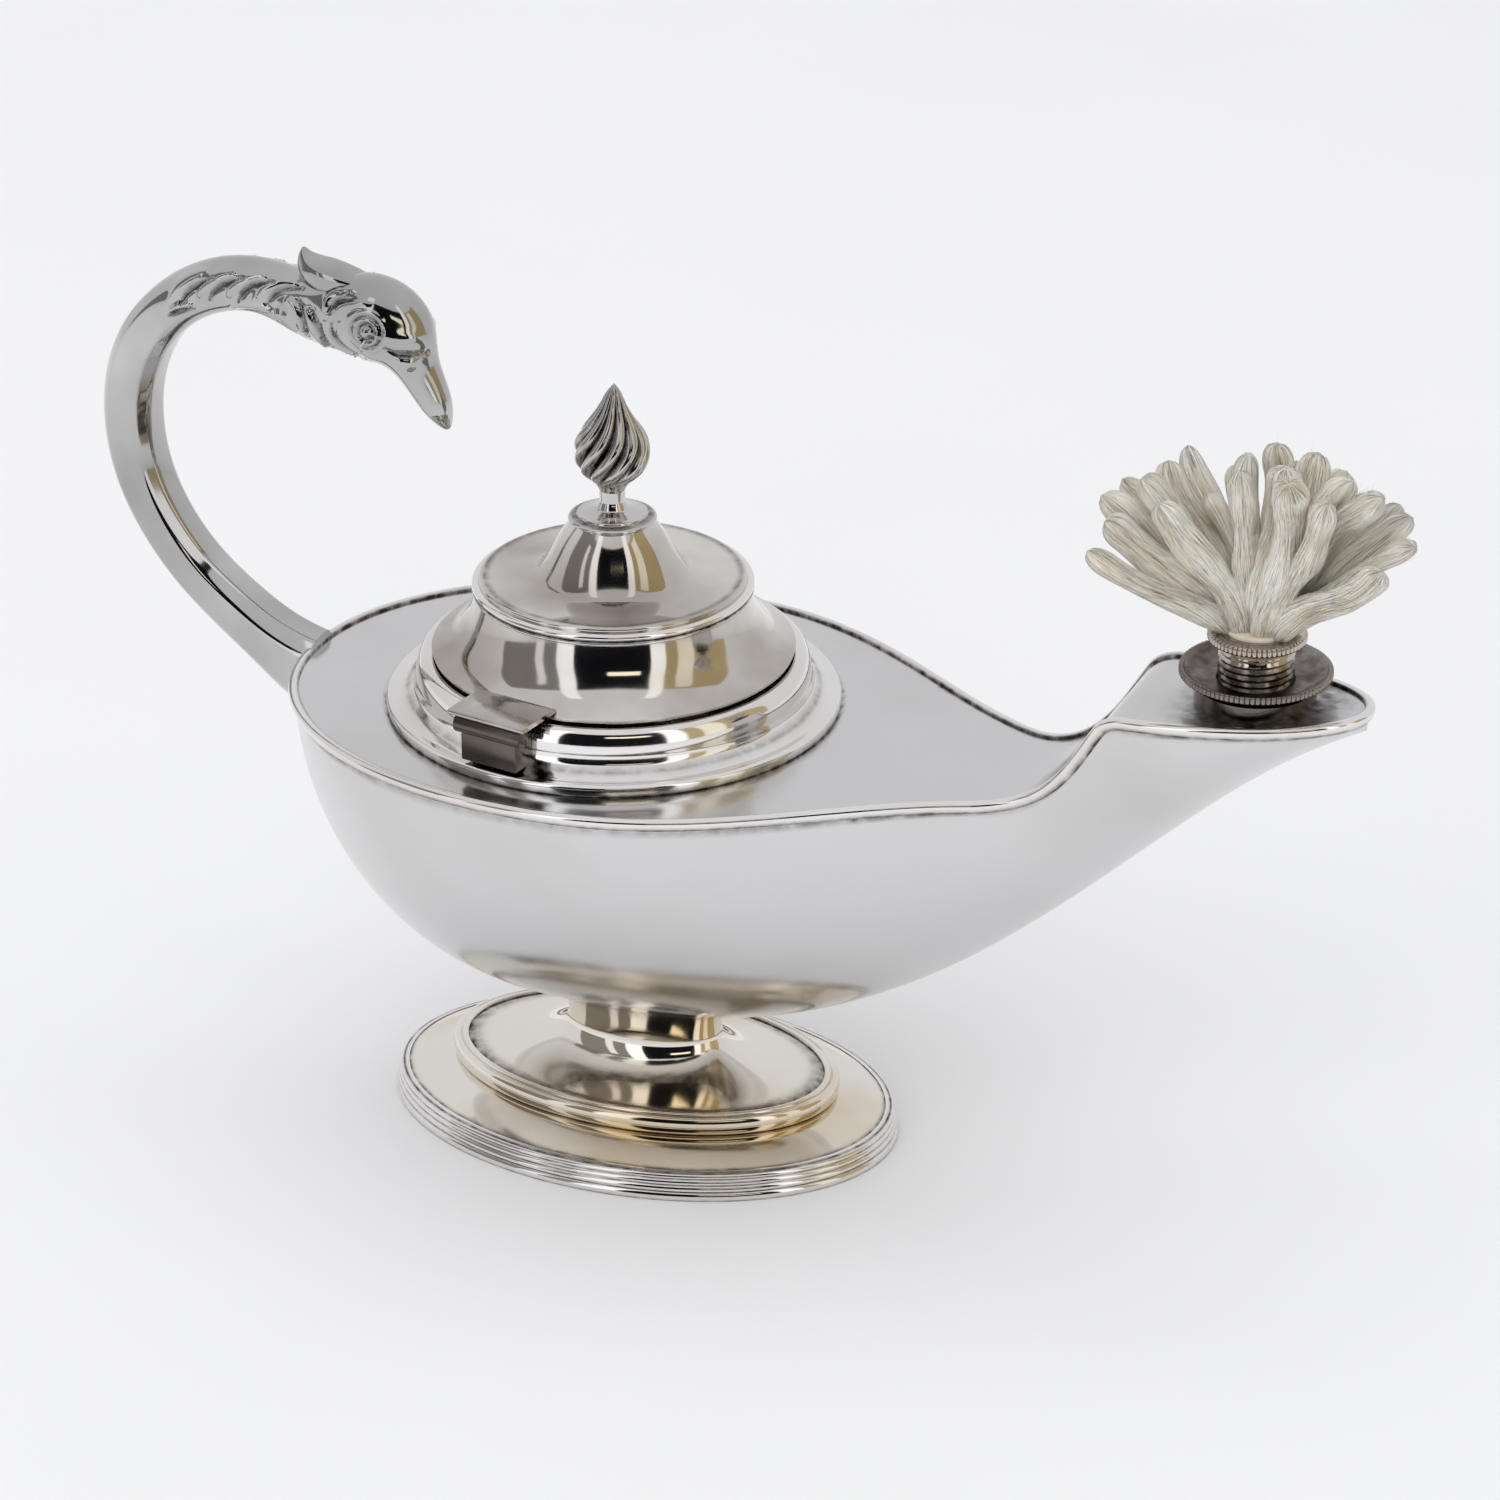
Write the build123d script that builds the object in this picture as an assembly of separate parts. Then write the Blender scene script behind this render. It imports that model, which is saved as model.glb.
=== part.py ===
from build123d import *
import math
import os

# A silver-plated table oil lamp in the old boat-shaped pattern: an oval stepped foot, a
# keeled bowl whose rear end carries a cast swan-neck handle, a spout with a screw-in wick
# burner, and a filler mouth closed by a hinged, bell-shaped lid with a flame finial.
# Millimetres. +X points to the spout, +Z up. The origin is the centre of the foot on the table.

# ---- driving dimensions -------------------------------------------------------------------
# Foot: every oval is given by its half-length along X and half-width along Y.
FOOT_LENGTH = 40.0            # half-length of the foot's top edge
FOOT_WIDTH = 27.8             # half-width of the foot's top edge
FOOT_RIM_HEIGHT = 4.3
REED_COUNT = 4
REED_BULGE = 0.35
RIM_WIRE_THICKNESS = 1.1      # from the foot's turned-down wall to the root of the reeds
FOOT_SHEET = 1.1
TIER_LENGTH = 31.6
TIER_WIDTH = 20.3
TREAD_RISE = 2.2
TIER_BASE_Z = FOOT_RIM_HEIGHT + TREAD_RISE    # underside of the upper tier, on the tread
TIER_TOP_Z = TIER_BASE_Z + 3.0
STEM_LENGTH = 12.6
STEM_WIDTH = 7.6
STEM_WAIST_Z = TIER_TOP_Z + 6.1
STEM_FLARE_HEIGHT = 3.8       # from the waist up to the bowl's keel

# Bowl, in plan: half-width of the rim over X.
REAR_X = -54.7
TIP_X = 113.9
WIDEST_X = -4.2
BOWL_HALF_WIDTH = 40.7
REAR_POWER = 2.05
NECK_X = TIP_X - 44.9
NECK_HALF_WIDTH = 11.1
NECK_POWER = 1.19
PLATFORM_WIDEST_X = TIP_X - 28.2
PLATFORM_HALF_WIDTH = 12.5
# Bowl, in side view: the keel line under it and the deck line over it.
KEEL_Z = STEM_WAIST_Z + STEM_FLARE_HEIGHT
KEEL_X = -8.0
KEEL_REAR_POWER = 2.2
KEEL_SQUARE = -0.11
KEEL_CUBE = 3.46
BOWL_DEPTH = 49.9
DECK_Z = KEEL_Z + BOWL_DEPTH
DECK_RISE = [
    (NECK_X - 12.0, DECK_Z), (NECK_X + 0.5, DECK_Z),
    (NECK_X + 3.6, DECK_Z + 8.2), (NECK_X + 8.0, DECK_Z + 15.1),
]
DECK_TURN = [DECK_RISE[-1], (NECK_X + 9.3, DECK_Z + 17.15), (NECK_X + 12.5, DECK_Z + 17.4)]
PLATFORM_Z = DECK_TURN[-1][1]
TIP_DECK_Z = PLATFORM_Z + 2.2
KEEL_TIP_Z = TIP_DECK_Z - 2.9
SECTION_POWER = 1.75
BOWL_SHEET = 1.2
DECK_SHEET = 1.0
END_CAP = 0.15                # the lofts stop this far short of the pointed ends

# Wire soldered round the rim of the bowl: it laps the deck's top and edge.
WIRE_OUT = 0.9
WIRE_IN = 0.7
WIRE_UP = 0.7
WIRE_DOWN = 1.3

# Filler mouth and lid, on their own vertical axis.
LID_X = WIDEST_X - 0.5
MOUTH_RADIUS = 26.0
COLLAR_LIP_RADIUS = MOUTH_RADIUS + 2.3
COLLAR_BULGE_RADIUS = COLLAR_LIP_RADIUS + 1.7
COLLAR_FLANGE_RADIUS = COLLAR_BULGE_RADIUS + 4.5
COLLAR_FLANGE_HEIGHT = 2.4
COLLAR_HEIGHT = 8.3
COLLAR_LIP_Z = DECK_Z + COLLAR_HEIGHT
LID_GAP = 0.4
SKIRT_RADIUS = COLLAR_LIP_RADIUS - 0.8
SKIRT_SPREAD = 6.9            # how much the skirt widens from its top to its lower edge
SKIRT_NECK_RADIUS = SKIRT_RADIUS - SKIRT_SPREAD
SKIRT_HEIGHT = 10.0
SKIRT_TOP_Z = COLLAR_LIP_Z + LID_GAP + SKIRT_HEIGHT
LID_SHEET = 0.9
BEAD_RADIUS = 0.9
BEAD_RISE = 0.4               # the bead's middle above the joint
PLATE_RADIUS = SKIRT_NECK_RADIUS - 0.9
PLATE_Z = SKIRT_TOP_Z + 2.0
CONE_TOP_RADIUS = 6.2
CONE_HEIGHT = 8.9
CONE_TOP_Z = PLATE_Z + CONE_HEIGHT
BEZEL_CLEARANCE = 0.45
BEZEL_DEPTH = 3.6
FINIAL_DISC_RADIUS = CONE_TOP_RADIUS + 0.6
FINIAL_DISC_THICKNESS = 1.5
FINIAL_NECK_RADIUS = 1.9
FLAME_RADIUS = 5.7
SPOOL_HEIGHT = 5.0
FLAME_HEIGHT = 15.5
FLAME_BASE_Z = CONE_TOP_Z + FINIAL_DISC_THICKNESS + SPOOL_HEIGHT
FLAME_TIP_Z = FLAME_BASE_Z + FLAME_HEIGHT
STUD_RADIUS = 1.5
NUT_ACROSS_FLATS = 5.5
NUT_HEIGHT = 2.2

# Lid hinge: a short barrel hinge standing on the collar's flange, on the -Y side.
HINGE_ANGLE = 9.0             # degrees the hinge is turned from the -Y direction towards -X
HINGE_RADIUS = COLLAR_BULGE_RADIUS + 3.2      # from the lid's axis to the pin
HINGE_Z = COLLAR_LIP_Z - 0.3
HINGE_LENGTH = 13.4
KNUCKLE_RADIUS = 1.5
MIDDLE_KNUCKLE = 4.6
KNUCKLE_GAP = 0.3
PIN_RADIUS = 0.7
PIN_CLEARANCE = 0.05
LEAF_THICKNESS = 0.85

# Burner, screwed into the spout platform on a vertical axis.
BURNER_X = TIP_X - 17.0
TUBE_RADIUS = 5.6
TUBE_WALL = 0.7
TUBE_BORE = TUBE_RADIUS - TUBE_WALL
TUBE_CLEARANCE = 0.05
SLEEVE_RADIUS = TUBE_RADIUS + 1.4
SEAT_RADIUS = SLEEVE_RADIUS + 1.9
SEAT_TOP_Z = PLATFORM_Z + 3.8
SLEEVE_BOTTOM_Z = PLATFORM_Z - 2.7
TUBE_BOTTOM_Z = SLEEVE_BOTTOM_Z - 1.4
DISH_RADIUS = SEAT_RADIUS + 2.1
DISH_FLOOR_Z = SEAT_TOP_Z + 0.3
DISH_DEPTH = 2.4
DISH_RIM_Z = DISH_FLOOR_Z + DISH_DEPTH
DISH_SHEET = 0.9
DISH_RIM_HEIGHT = 1.3
CAP_RADIUS = TUBE_RADIUS + 1.65
TUBE_STAND = 8.5             # how far the tube stands above its seat
CAP_TOP_Z = SEAT_TOP_Z + TUBE_STAND
CAP_BOTTOM_Z = CAP_TOP_Z - 1.6
WICK_GAP = 0.3
TUFT_LENGTH_RADIUS = 24.5
TUFT_WIDTH_RADIUS = 18.0
TUFT_WIDEST_Z = CAP_TOP_Z + 23.0
TUFT_TOP_Z = TUFT_WIDEST_Z + 7.6
TAIL_RADIUS = 2.2

# Swan-neck handle: stations (x behind the bowl's rear, z above the deck, half-height in the
# XZ plane, half-width along Y).
HANDLE_STATIONS = [
    (3.2, -5.7, 6.6, 4.6), (-1.8, -3.7, 6.0, 4.5), (-7.3, -0.6, 4.9, 4.4),
    (-14.1, 4.2, 4.3, 4.3), (-20.7, 10.0, 4.1, 4.3), (-25.7, 16.5, 4.1, 4.3),
    (-29.2, 23.9, 4.2, 4.4), (-30.7, 31.9, 4.3, 4.4), (-30.1, 40.1, 4.3, 4.4),
    (-26.8, 48.1, 4.2, 4.3), (-21.3, 53.9, 4.1, 4.2), (-14.5, 57.3, 4.2, 4.2),
    (-7.1, 58.1, 4.3, 4.2), (-0.3, 56.5, 4.9, 4.6), (5.7, 55.7, 5.9, 5.3),
    (11.1, 55.7, 6.9, 5.8), (15.2, 53.4, 6.2, 5.4), (18.0, 49.3, 3.7, 4.1),
    (20.0, 45.6, 2.9, 3.3), (21.8, 42.3, 2.2, 2.6), (23.2, 39.6, 1.4, 1.8),
]
CREST_X = REAR_X + 1.1
CREST_TOP_Z = DECK_Z + 65.9


# ---- the bowl's lines ---------------------------------------------------------------------
def bezier(points, t):
    """Point of a Bezier curve at t, from 0 to 1."""
    while len(points) > 1:
        points = [
            (a[0] + (b[0] - a[0]) * t, a[1] + (b[1] - a[1]) * t)
            for a, b in zip(points[:-1], points[1:])
        ]
    return points[0]


def bezier_height(points, x):
    """Height of a Bezier curve over x, by halving the interval of its parameter."""
    low, high = 0.0, 1.0
    for _ in range(40):
        middle = (low + high) / 2
        if bezier(points, middle)[0] < x:
            low = middle
        else:
            high = middle
    return bezier(points, low)[1]


def deck_height(x):
    """Flat over the bowl, then a swept rise up to the gently climbing spout platform."""
    if x <= DECK_RISE[0][0]:
        return DECK_Z
    if x <= DECK_TURN[0][0]:
        return bezier_height(DECK_RISE, x)
    if x <= DECK_TURN[-1][0]:
        return bezier_height(DECK_TURN, x)
    start_x, start_z = DECK_TURN[-1]
    return start_z + (TIP_DECK_Z - start_z) * (x - start_x) / (TIP_X - start_x)


def half_width(x):
    """Rim half-width: a blunt oval at the rear, a cosine sweep to the neck, a leaf-shaped tip."""
    if x <= WIDEST_X:
        u = min(1.0, (WIDEST_X - x) / (WIDEST_X - REAR_X))
        return BOWL_HALF_WIDTH * (1 - u ** REAR_POWER) ** (1 / REAR_POWER)
    if x <= NECK_X:
        u = (x - WIDEST_X) / (NECK_X - WIDEST_X)
        sweep = (1 + math.cos(math.pi * u ** NECK_POWER)) / 2
        return NECK_HALF_WIDTH + (BOWL_HALF_WIDTH - NECK_HALF_WIDTH) * sweep
    if x <= PLATFORM_WIDEST_X:
        u = (x - NECK_X) / (PLATFORM_WIDEST_X - NECK_X)
        sweep = (1 - math.cos(math.pi * u)) / 2
        return NECK_HALF_WIDTH + (PLATFORM_HALF_WIDTH - NECK_HALF_WIDTH) * sweep
    u = min(1.0, (x - PLATFORM_WIDEST_X) / (TIP_X - PLATFORM_WIDEST_X))
    return PLATFORM_HALF_WIDTH * math.sqrt(1 - u * u)


def keel_height(x):
    """Lowest line of the bowl: a quarter oval behind the stem, a swept rise towards the tip."""
    if x <= KEEL_X:
        u = min(1.0, (KEEL_X - x) / (KEEL_X - REAR_X))
        return DECK_Z - (DECK_Z - KEEL_Z) * (1 - u ** KEEL_REAR_POWER) ** (1 / KEEL_REAR_POWER)
    u = (x - KEEL_X) / (TIP_X - KEEL_X)
    fourth = 1 - KEEL_SQUARE - KEEL_CUBE
    return KEEL_Z + (KEEL_TIP_Z - KEEL_Z) * (KEEL_SQUARE * u ** 2 + KEEL_CUBE * u ** 3 + fourth * u ** 4)


def bowl_section(x, inset, rise):
    """Section across the bowl at x: a superellipse below the deck, upright sides above it."""
    width = half_width(x) - inset
    top = deck_height(x)
    depth = top - keel_height(x) - inset
    steps = 10
    points = []
    for i in range(steps + 1):
        angle = math.pi * i / steps
        side = math.copysign(abs(math.cos(angle)) ** (2 / SECTION_POWER), math.cos(angle))
        points.append((x, width * side, top - depth * math.sin(angle) ** (2 / SECTION_POWER)))
    hull = Spline(*points, tangents=[(0, 0, -1), (0, 0, 1)])
    right = Line((x, width, top + rise), (x, width, top))
    left = Line((x, -width, top), (x, -width, top + rise))
    lid = Line((x, -width, top + rise), (x, width, top + rise))
    return make_face([right, hull, left, lid])


def bowl_stations(start, end):
    """Places along X, close together at both ends where the bowl's outline turns fast."""
    count = 24
    middle, half = (start + end) / 2, (end - start) / 2
    return [middle - half * math.cos(math.pi * i / count) for i in range(count + 1)]


def bowl_solid(inset, rise, start, end):
    """Loft of the bowl's sections from start to end."""
    return loft([bowl_section(x, inset, rise) for x in bowl_stations(start, end)])


def deck_band(low, high):
    """Slab across the whole lamp between the deck line moved by low and by high."""
    reach = 12.0
    edges = []
    for shift in (low, high):
        rise = Bezier(*[(x, 0, z + shift) for x, z in DECK_RISE])
        turn = Bezier(*[(x, 0, z + shift) for x, z in DECK_TURN])
        start = Line((REAR_X - reach, 0, DECK_Z + shift), rise @ 0)
        slope = (TIP_DECK_Z - DECK_TURN[-1][1]) / (TIP_X - DECK_TURN[-1][0])
        end_z = TIP_DECK_Z + slope * reach + shift
        end = Line(turn @ 1, (TIP_X + reach, 0, end_z))
        edges += [start, rise, turn, end]
    edges.append(Line(edges[0] @ 0, edges[4] @ 0))
    edges.append(Line(edges[3] @ 1, edges[7] @ 1))
    return extrude(make_face(edges), BOWL_HALF_WIDTH + reach, dir=(0, 1, 0), both=True)


def rim_outline(grow):
    """The rim in plan as a flat face at z = 0, each point moved outwards by grow."""
    count = 36
    middle, half = (REAR_X + TIP_X) / 2, (TIP_X - REAR_X) / 2
    near, far = [], []
    for i in range(1, count):
        x = middle - half * math.cos(math.pi * i / count)
        slope = (half_width(x + 0.05) - half_width(x - 0.05)) / 0.1
        reach = grow / math.hypot(1.0, slope)
        near.append((x - slope * reach, -half_width(x) - reach))
        far.append((x - slope * reach, half_width(x) + reach))
    ends = [(REAR_X - grow, 0.0), (TIP_X + grow, 0.0)]
    points = [ends[0]] + near + [ends[1]] + far[::-1]
    return make_face(Spline(*points, periodic=True))


# ---- helpers ------------------------------------------------------------------------------
def oval_stack(rings):
    """Solid through horizontal ovals, each (half-length, half-width, z), joined by ruled faces."""
    return loft([Plane.XY.offset(z) * Ellipse(a, b) for a, b, z in rings], ruled=True)


def turned(profile, x):
    """Solid of revolution about the vertical axis at x, from a face drawn in the XZ plane."""
    return Pos(x, 0, 0) * revolve(profile, Axis.Z)


def profile_face(points):
    """Face in the XZ plane with straight edges through (radius, z) points."""
    return make_face(Polyline(*[(r, 0, z) for r, z in points], close=True))


def disc(radius, low, high, x=0.0, y=0.0):
    """Upright cylinder from low to high."""
    return Pos(x, y, (low + high) / 2) * Cylinder(radius, high - low)


# ---- foot ---------------------------------------------------------------------------------
def tread_rings(drop):
    """Ovals of the foot's top, from its edge up a hollow slope to under the upper tier."""
    rings = []
    steps = 5
    for i in range(steps + 1):
        u = i / steps
        length = FOOT_LENGTH - RIM_WIRE_THICKNESS + (TIER_LENGTH - FOOT_LENGTH) * u
        width = FOOT_WIDTH - RIM_WIRE_THICKNESS + (TIER_WIDTH - FOOT_WIDTH) * u
        height = FOOT_RIM_HEIGHT + (TIER_BASE_Z - FOOT_RIM_HEIGHT) * (1 - (1 - u) ** 1.6)
        rings.append((length - drop, width - drop, height - drop))
    return rings


def foot_base():
    """Stamped foot: an upright edge, a hollow tread and a flat seat for the tier, open below."""
    edge = (FOOT_LENGTH - RIM_WIRE_THICKNESS, FOOT_WIDTH - RIM_WIRE_THICKNESS, 0.0)
    inner_edge = (edge[0] - FOOT_SHEET, edge[1] - FOOT_SHEET, -1.0)
    outer = oval_stack([edge] + tread_rings(0.0))
    inner = oval_stack([inner_edge] + tread_rings(FOOT_SHEET))
    hole = oval_stack([(STEM_LENGTH, STEM_WIDTH, -1.0), (STEM_LENGTH, STEM_WIDTH, TIER_TOP_Z)])
    return outer - inner - hole


def foot_reeded_rim():
    """Reeded wire soldered round the foot's edge, each reed a shallow ridge."""
    pitch = FOOT_RIM_HEIGHT / REED_COUNT
    rings = []
    for i in range(REED_COUNT):
        spread = REED_BULGE * (REED_COUNT - i - 1)
        for part, bulge in ((0.08, 0.0), (0.5, REED_BULGE), (0.92, 0.0)):
            rings.append((FOOT_LENGTH + spread + bulge, FOOT_WIDTH + spread + bulge, (i + part) * pitch))
    first, last = rings[0], rings[-1]
    rings = [(first[0], first[1], 0.0)] + rings + [(last[0], last[1], FOOT_RIM_HEIGHT)]
    inner = (FOOT_LENGTH - RIM_WIRE_THICKNESS, FOOT_WIDTH - RIM_WIRE_THICKNESS)
    return oval_stack(rings) - oval_stack([(*inner, -1.0), (*inner, FOOT_RIM_HEIGHT + 1)])


def pedestal_rings(inset):
    """Ovals of the dome and stem, sweeping in to the waist and out again under the bowl."""
    rings = []
    steps = 10
    for i in range(steps + 1):
        angle = math.pi / 2 * i / steps
        share = math.sin(angle) ** 0.9
        length = TIER_LENGTH - 1.2 + (STEM_LENGTH - TIER_LENGTH + 1.2) * share
        width = TIER_WIDTH - 1.2 + (STEM_WIDTH - TIER_WIDTH + 1.2) * share
        height = TIER_TOP_Z + (STEM_WAIST_Z - TIER_TOP_Z) * (1 - math.cos(angle))
        rings.append((length - inset, width - inset, height - inset * math.cos(angle)))
    rings.append((STEM_LENGTH + 0.5 - inset, STEM_WIDTH + 0.4 - inset, STEM_WAIST_Z + 3.0))
    rings.append((STEM_LENGTH + 2.6 - inset, STEM_WIDTH + 1.9 - inset, KEEL_Z + 3.6))
    return rings


def foot_pedestal(bowl):
    """Upper tier with its rolled edge, dome and stem, hollow below and cut to fit the keel."""
    edge_radius = (TIER_TOP_Z - TIER_BASE_Z) / 2
    middle = (TIER_TOP_Z + TIER_BASE_Z) / 2
    edge = [
        (TIER_LENGTH - 0.4 + 0.4 * math.sin(a), TIER_WIDTH - 0.4 + 0.4 * math.sin(a),
         middle - edge_radius * math.cos(a))
        for a in [math.pi * i / 6 for i in range(7)]
    ]
    recess = pedestal_rings(FOOT_SHEET)[0]
    outer = oval_stack(edge) + oval_stack(pedestal_rings(0.0))
    inner = oval_stack([(recess[0], recess[1], TIER_BASE_Z - 1)] + pedestal_rings(FOOT_SHEET))
    return outer - inner - bowl


# ---- bowl and deck ------------------------------------------------------------------------
def hull_bowl(outer, cavity):
    """Raised bowl and spout in one sheet, open along its whole top, where the deck lies."""
    return outer - cavity - deck_band(-DECK_SHEET, 30.0)


def deck_blank():
    """The deck's whole plate before its openings are cut."""
    return Pos(0, 0, DECK_Z - 10) * extrude(rim_outline(0.0), 40) & deck_band(-DECK_SHEET, 0.0)


def deck_plate():
    """Top plate on the bowl's edge, with the filler mouth and the burner's hole cut through."""
    plate = deck_blank() - disc(MOUTH_RADIUS, DECK_Z - 5, DECK_Z + 5, LID_X)
    return plate - disc(SLEEVE_RADIUS, SLEEVE_BOTTOM_Z - 5, SEAT_TOP_Z + 5, BURNER_X)


def deck_rim_wire():
    """Wire soldered over the joint of deck and bowl, all round the rim and the spout tip."""
    outside = rim_outline(WIRE_OUT)
    lap = Pos(0, 0, DECK_Z - 10) * extrude(outside - rim_outline(-WIRE_IN), 40)
    edge = Pos(0, 0, DECK_Z - 10) * extrude(outside - rim_outline(0.0), 40)
    return (lap & deck_band(0.0, WIRE_UP)) + (edge & deck_band(-WIRE_DOWN, 0.0))


# ---- filler mouth -------------------------------------------------------------------------
def collar_solid():
    """Flange on the deck with a full, rounded collar standing on it, bored for the mouth."""
    top = DECK_Z + COLLAR_FLANGE_HEIGHT
    points = [
        (MOUTH_RADIUS, DECK_Z), (COLLAR_FLANGE_RADIUS, DECK_Z),
        (COLLAR_FLANGE_RADIUS, top - 0.5), (COLLAR_FLANGE_RADIUS - 0.5, top),
        (COLLAR_FLANGE_RADIUS - 1.6, top), (COLLAR_BULGE_RADIUS + 1.4, top + 0.2),
        (COLLAR_BULGE_RADIUS + 0.4, top + 0.9), (COLLAR_BULGE_RADIUS, top + 2.0),
    ]
    bulge = COLLAR_BULGE_RADIUS - COLLAR_LIP_RADIUS
    shoulder = COLLAR_LIP_Z - top - 2.0
    for i in range(1, 6):
        angle = math.pi / 2 * i / 5
        points.append((COLLAR_LIP_RADIUS + bulge * math.cos(angle), top + 2.0 + shoulder * math.sin(angle)))
    points.append((MOUTH_RADIUS, COLLAR_LIP_Z))
    return turned(profile_face(points), LID_X)


def hinge_place():
    """Frame at the hinge pin's middle: X along the pin, Y inwards to the lid's axis, Z up."""
    turn = math.radians(HINGE_ANGLE)
    outward = (-math.sin(turn), -math.cos(turn))
    origin = (LID_X + HINGE_RADIUS * outward[0], HINGE_RADIUS * outward[1], HINGE_Z)
    return Plane(origin=origin, x_dir=(math.cos(turn), -math.sin(turn), 0), z_dir=(0, 0, 1))


def along_pin(radius, start, end):
    """Cylinder about the hinge line, from start to end along it, in the hinge's own frame."""
    return Pos((start + end) / 2, 0, 0) * Rot(0, 90, 0) * Cylinder(radius, end - start)


def block(x0, x1, y0, y1, z0, z1):
    """Box between two corners."""
    return Pos((x0 + x1) / 2, (y0 + y1) / 2, (z0 + z1) / 2) * Box(x1 - x0, y1 - y0, z1 - z0)


def hinge_fixed_leaf(collar):
    """Block soldered on the collar's flange, with the two outer knuckles of the hinge."""
    half = HINGE_LENGTH / 2
    foot = DECK_Z + COLLAR_FLANGE_HEIGHT - HINGE_Z
    inward = HINGE_RADIUS - COLLAR_BULGE_RADIUS
    leaf = block(-half, half, -KNUCKLE_RADIUS + 0.2, inward, foot, 0)
    leaf += along_pin(KNUCKLE_RADIUS, -half, half)
    middle = MIDDLE_KNUCKLE / 2 + KNUCKLE_GAP
    leaf -= along_pin(KNUCKLE_RADIUS + KNUCKLE_GAP, -middle, middle)
    leaf -= along_pin(PIN_RADIUS, -half - 1, half + 1)
    return hinge_place() * leaf - collar


def hinge_lid_leaf(skirt):
    """Plate from the skirt's lower edge out over the hinge, with the middle knuckle."""
    half = HINGE_LENGTH / 2
    inner = HINGE_RADIUS - SKIRT_RADIUS + 2.2
    stop = KNUCKLE_RADIUS + KNUCKLE_GAP + 0.05
    low = KNUCKLE_RADIUS - LEAF_THICKNESS
    leaf = block(-half, half, stop, inner, low, KNUCKLE_RADIUS)
    half_middle = MIDDLE_KNUCKLE / 2
    leaf += block(-half_middle, half_middle, 0, stop, low, KNUCKLE_RADIUS)
    leaf += along_pin(KNUCKLE_RADIUS, -half_middle, half_middle)
    leaf -= along_pin(PIN_RADIUS + PIN_CLEARANCE, -half_middle - 1, half_middle + 1)
    core = disc(SKIRT_RADIUS - LID_SHEET, DECK_Z, SKIRT_TOP_Z, LID_X)
    return hinge_place() * leaf - skirt - core


def hinge_pin():
    """Pin through the five bores, riveted flush at both ends."""
    return hinge_place() * along_pin(PIN_RADIUS, -HINGE_LENGTH / 2, HINGE_LENGTH / 2)


# ---- lid ----------------------------------------------------------------------------------
def lid_skirt():
    """Spun bell-mouthed skirt with a level lower edge."""
    low = COLLAR_LIP_Z + LID_GAP
    rise = SKIRT_TOP_Z - low
    spread = SKIRT_RADIUS - SKIRT_NECK_RADIUS
    shape = [(1.0, 0.0), (1.0, 0.05), (0.62, 0.17), (0.35, 0.38), (0.14, 0.64), (0.0, 1.0)]
    outer = [(SKIRT_NECK_RADIUS + spread * s, low + rise * h) for s, h in shape]
    inner = [(r - LID_SHEET, z) for r, z in outer]
    edge_out = Line((outer[0][0], 0, outer[0][1]), (outer[1][0], 0, outer[1][1]))
    edge_in = Line((inner[0][0], 0, inner[0][1]), (inner[1][0], 0, inner[1][1]))
    curve_out = Spline(*[(r, 0, z) for r, z in outer[1:]])
    curve_in = Spline(*[(r, 0, z) for r, z in inner[1:]])
    foot = Line(edge_in @ 0, edge_out @ 0)
    head = Line(curve_in @ 1, curve_out @ 1)
    return turned(make_face([foot, edge_out, curve_out, head, curve_in, edge_in]), LID_X)


def lid_bead_wire(skirt):
    """Round wire soldered over the joint of skirt and cap."""
    ring = Pos(LID_X, 0, SKIRT_TOP_Z + BEAD_RISE) * Torus(SKIRT_NECK_RADIUS - 0.2, BEAD_RADIUS)
    return ring - disc(SKIRT_NECK_RADIUS, DECK_Z, CONE_TOP_Z, LID_X) - skirt


def lid_cap():
    """Cap: a flat plate that sweeps up in a hollow cone to the finial."""
    plate, cone = PLATE_RADIUS, CONE_TOP_RADIUS
    rise = CONE_TOP_Z - PLATE_Z
    shape = [(0.72, 0.0), (0.48, 0.04), (0.36, 0.14), (0.25, 0.39), (0.13, 0.72), (0.0, 1.0)]
    outer = [(cone + (plate - cone) * s, PLATE_Z + rise * h) for s, h in shape]
    inner = [(r - LID_SHEET * 0.6, z - LID_SHEET * 0.8) for r, z in outer]
    inner[0] = (outer[0][0], PLATE_Z - LID_SHEET)
    curve_out = Spline(*[(r, 0, z) for r, z in outer], tangents=[(-1, 0, 0), (-0.6, 0, 1)])
    curve_in = Spline(*[(r, 0, z) for r, z in inner], tangents=[(-1, 0, 0), (-0.6, 0, 1)])
    top = CONE_TOP_Z
    edge = Polyline(
        curve_in @ 0, (plate, 0, PLATE_Z - LID_SHEET), (plate, 0, SKIRT_TOP_Z),
        (SKIRT_NECK_RADIUS, 0, SKIRT_TOP_Z), (SKIRT_NECK_RADIUS, 0, PLATE_Z - 0.6),
        (SKIRT_NECK_RADIUS - 0.6, 0, PLATE_Z), curve_out @ 0,
    )
    head = Polyline(
        curve_out @ 1, (STUD_RADIUS, 0, top), (STUD_RADIUS, 0, top - LID_SHEET),
        ((curve_in @ 1).X, 0, top - LID_SHEET), curve_in @ 1,
    )
    return turned(make_face([edge, curve_out, head, curve_in]), LID_X)


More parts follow.
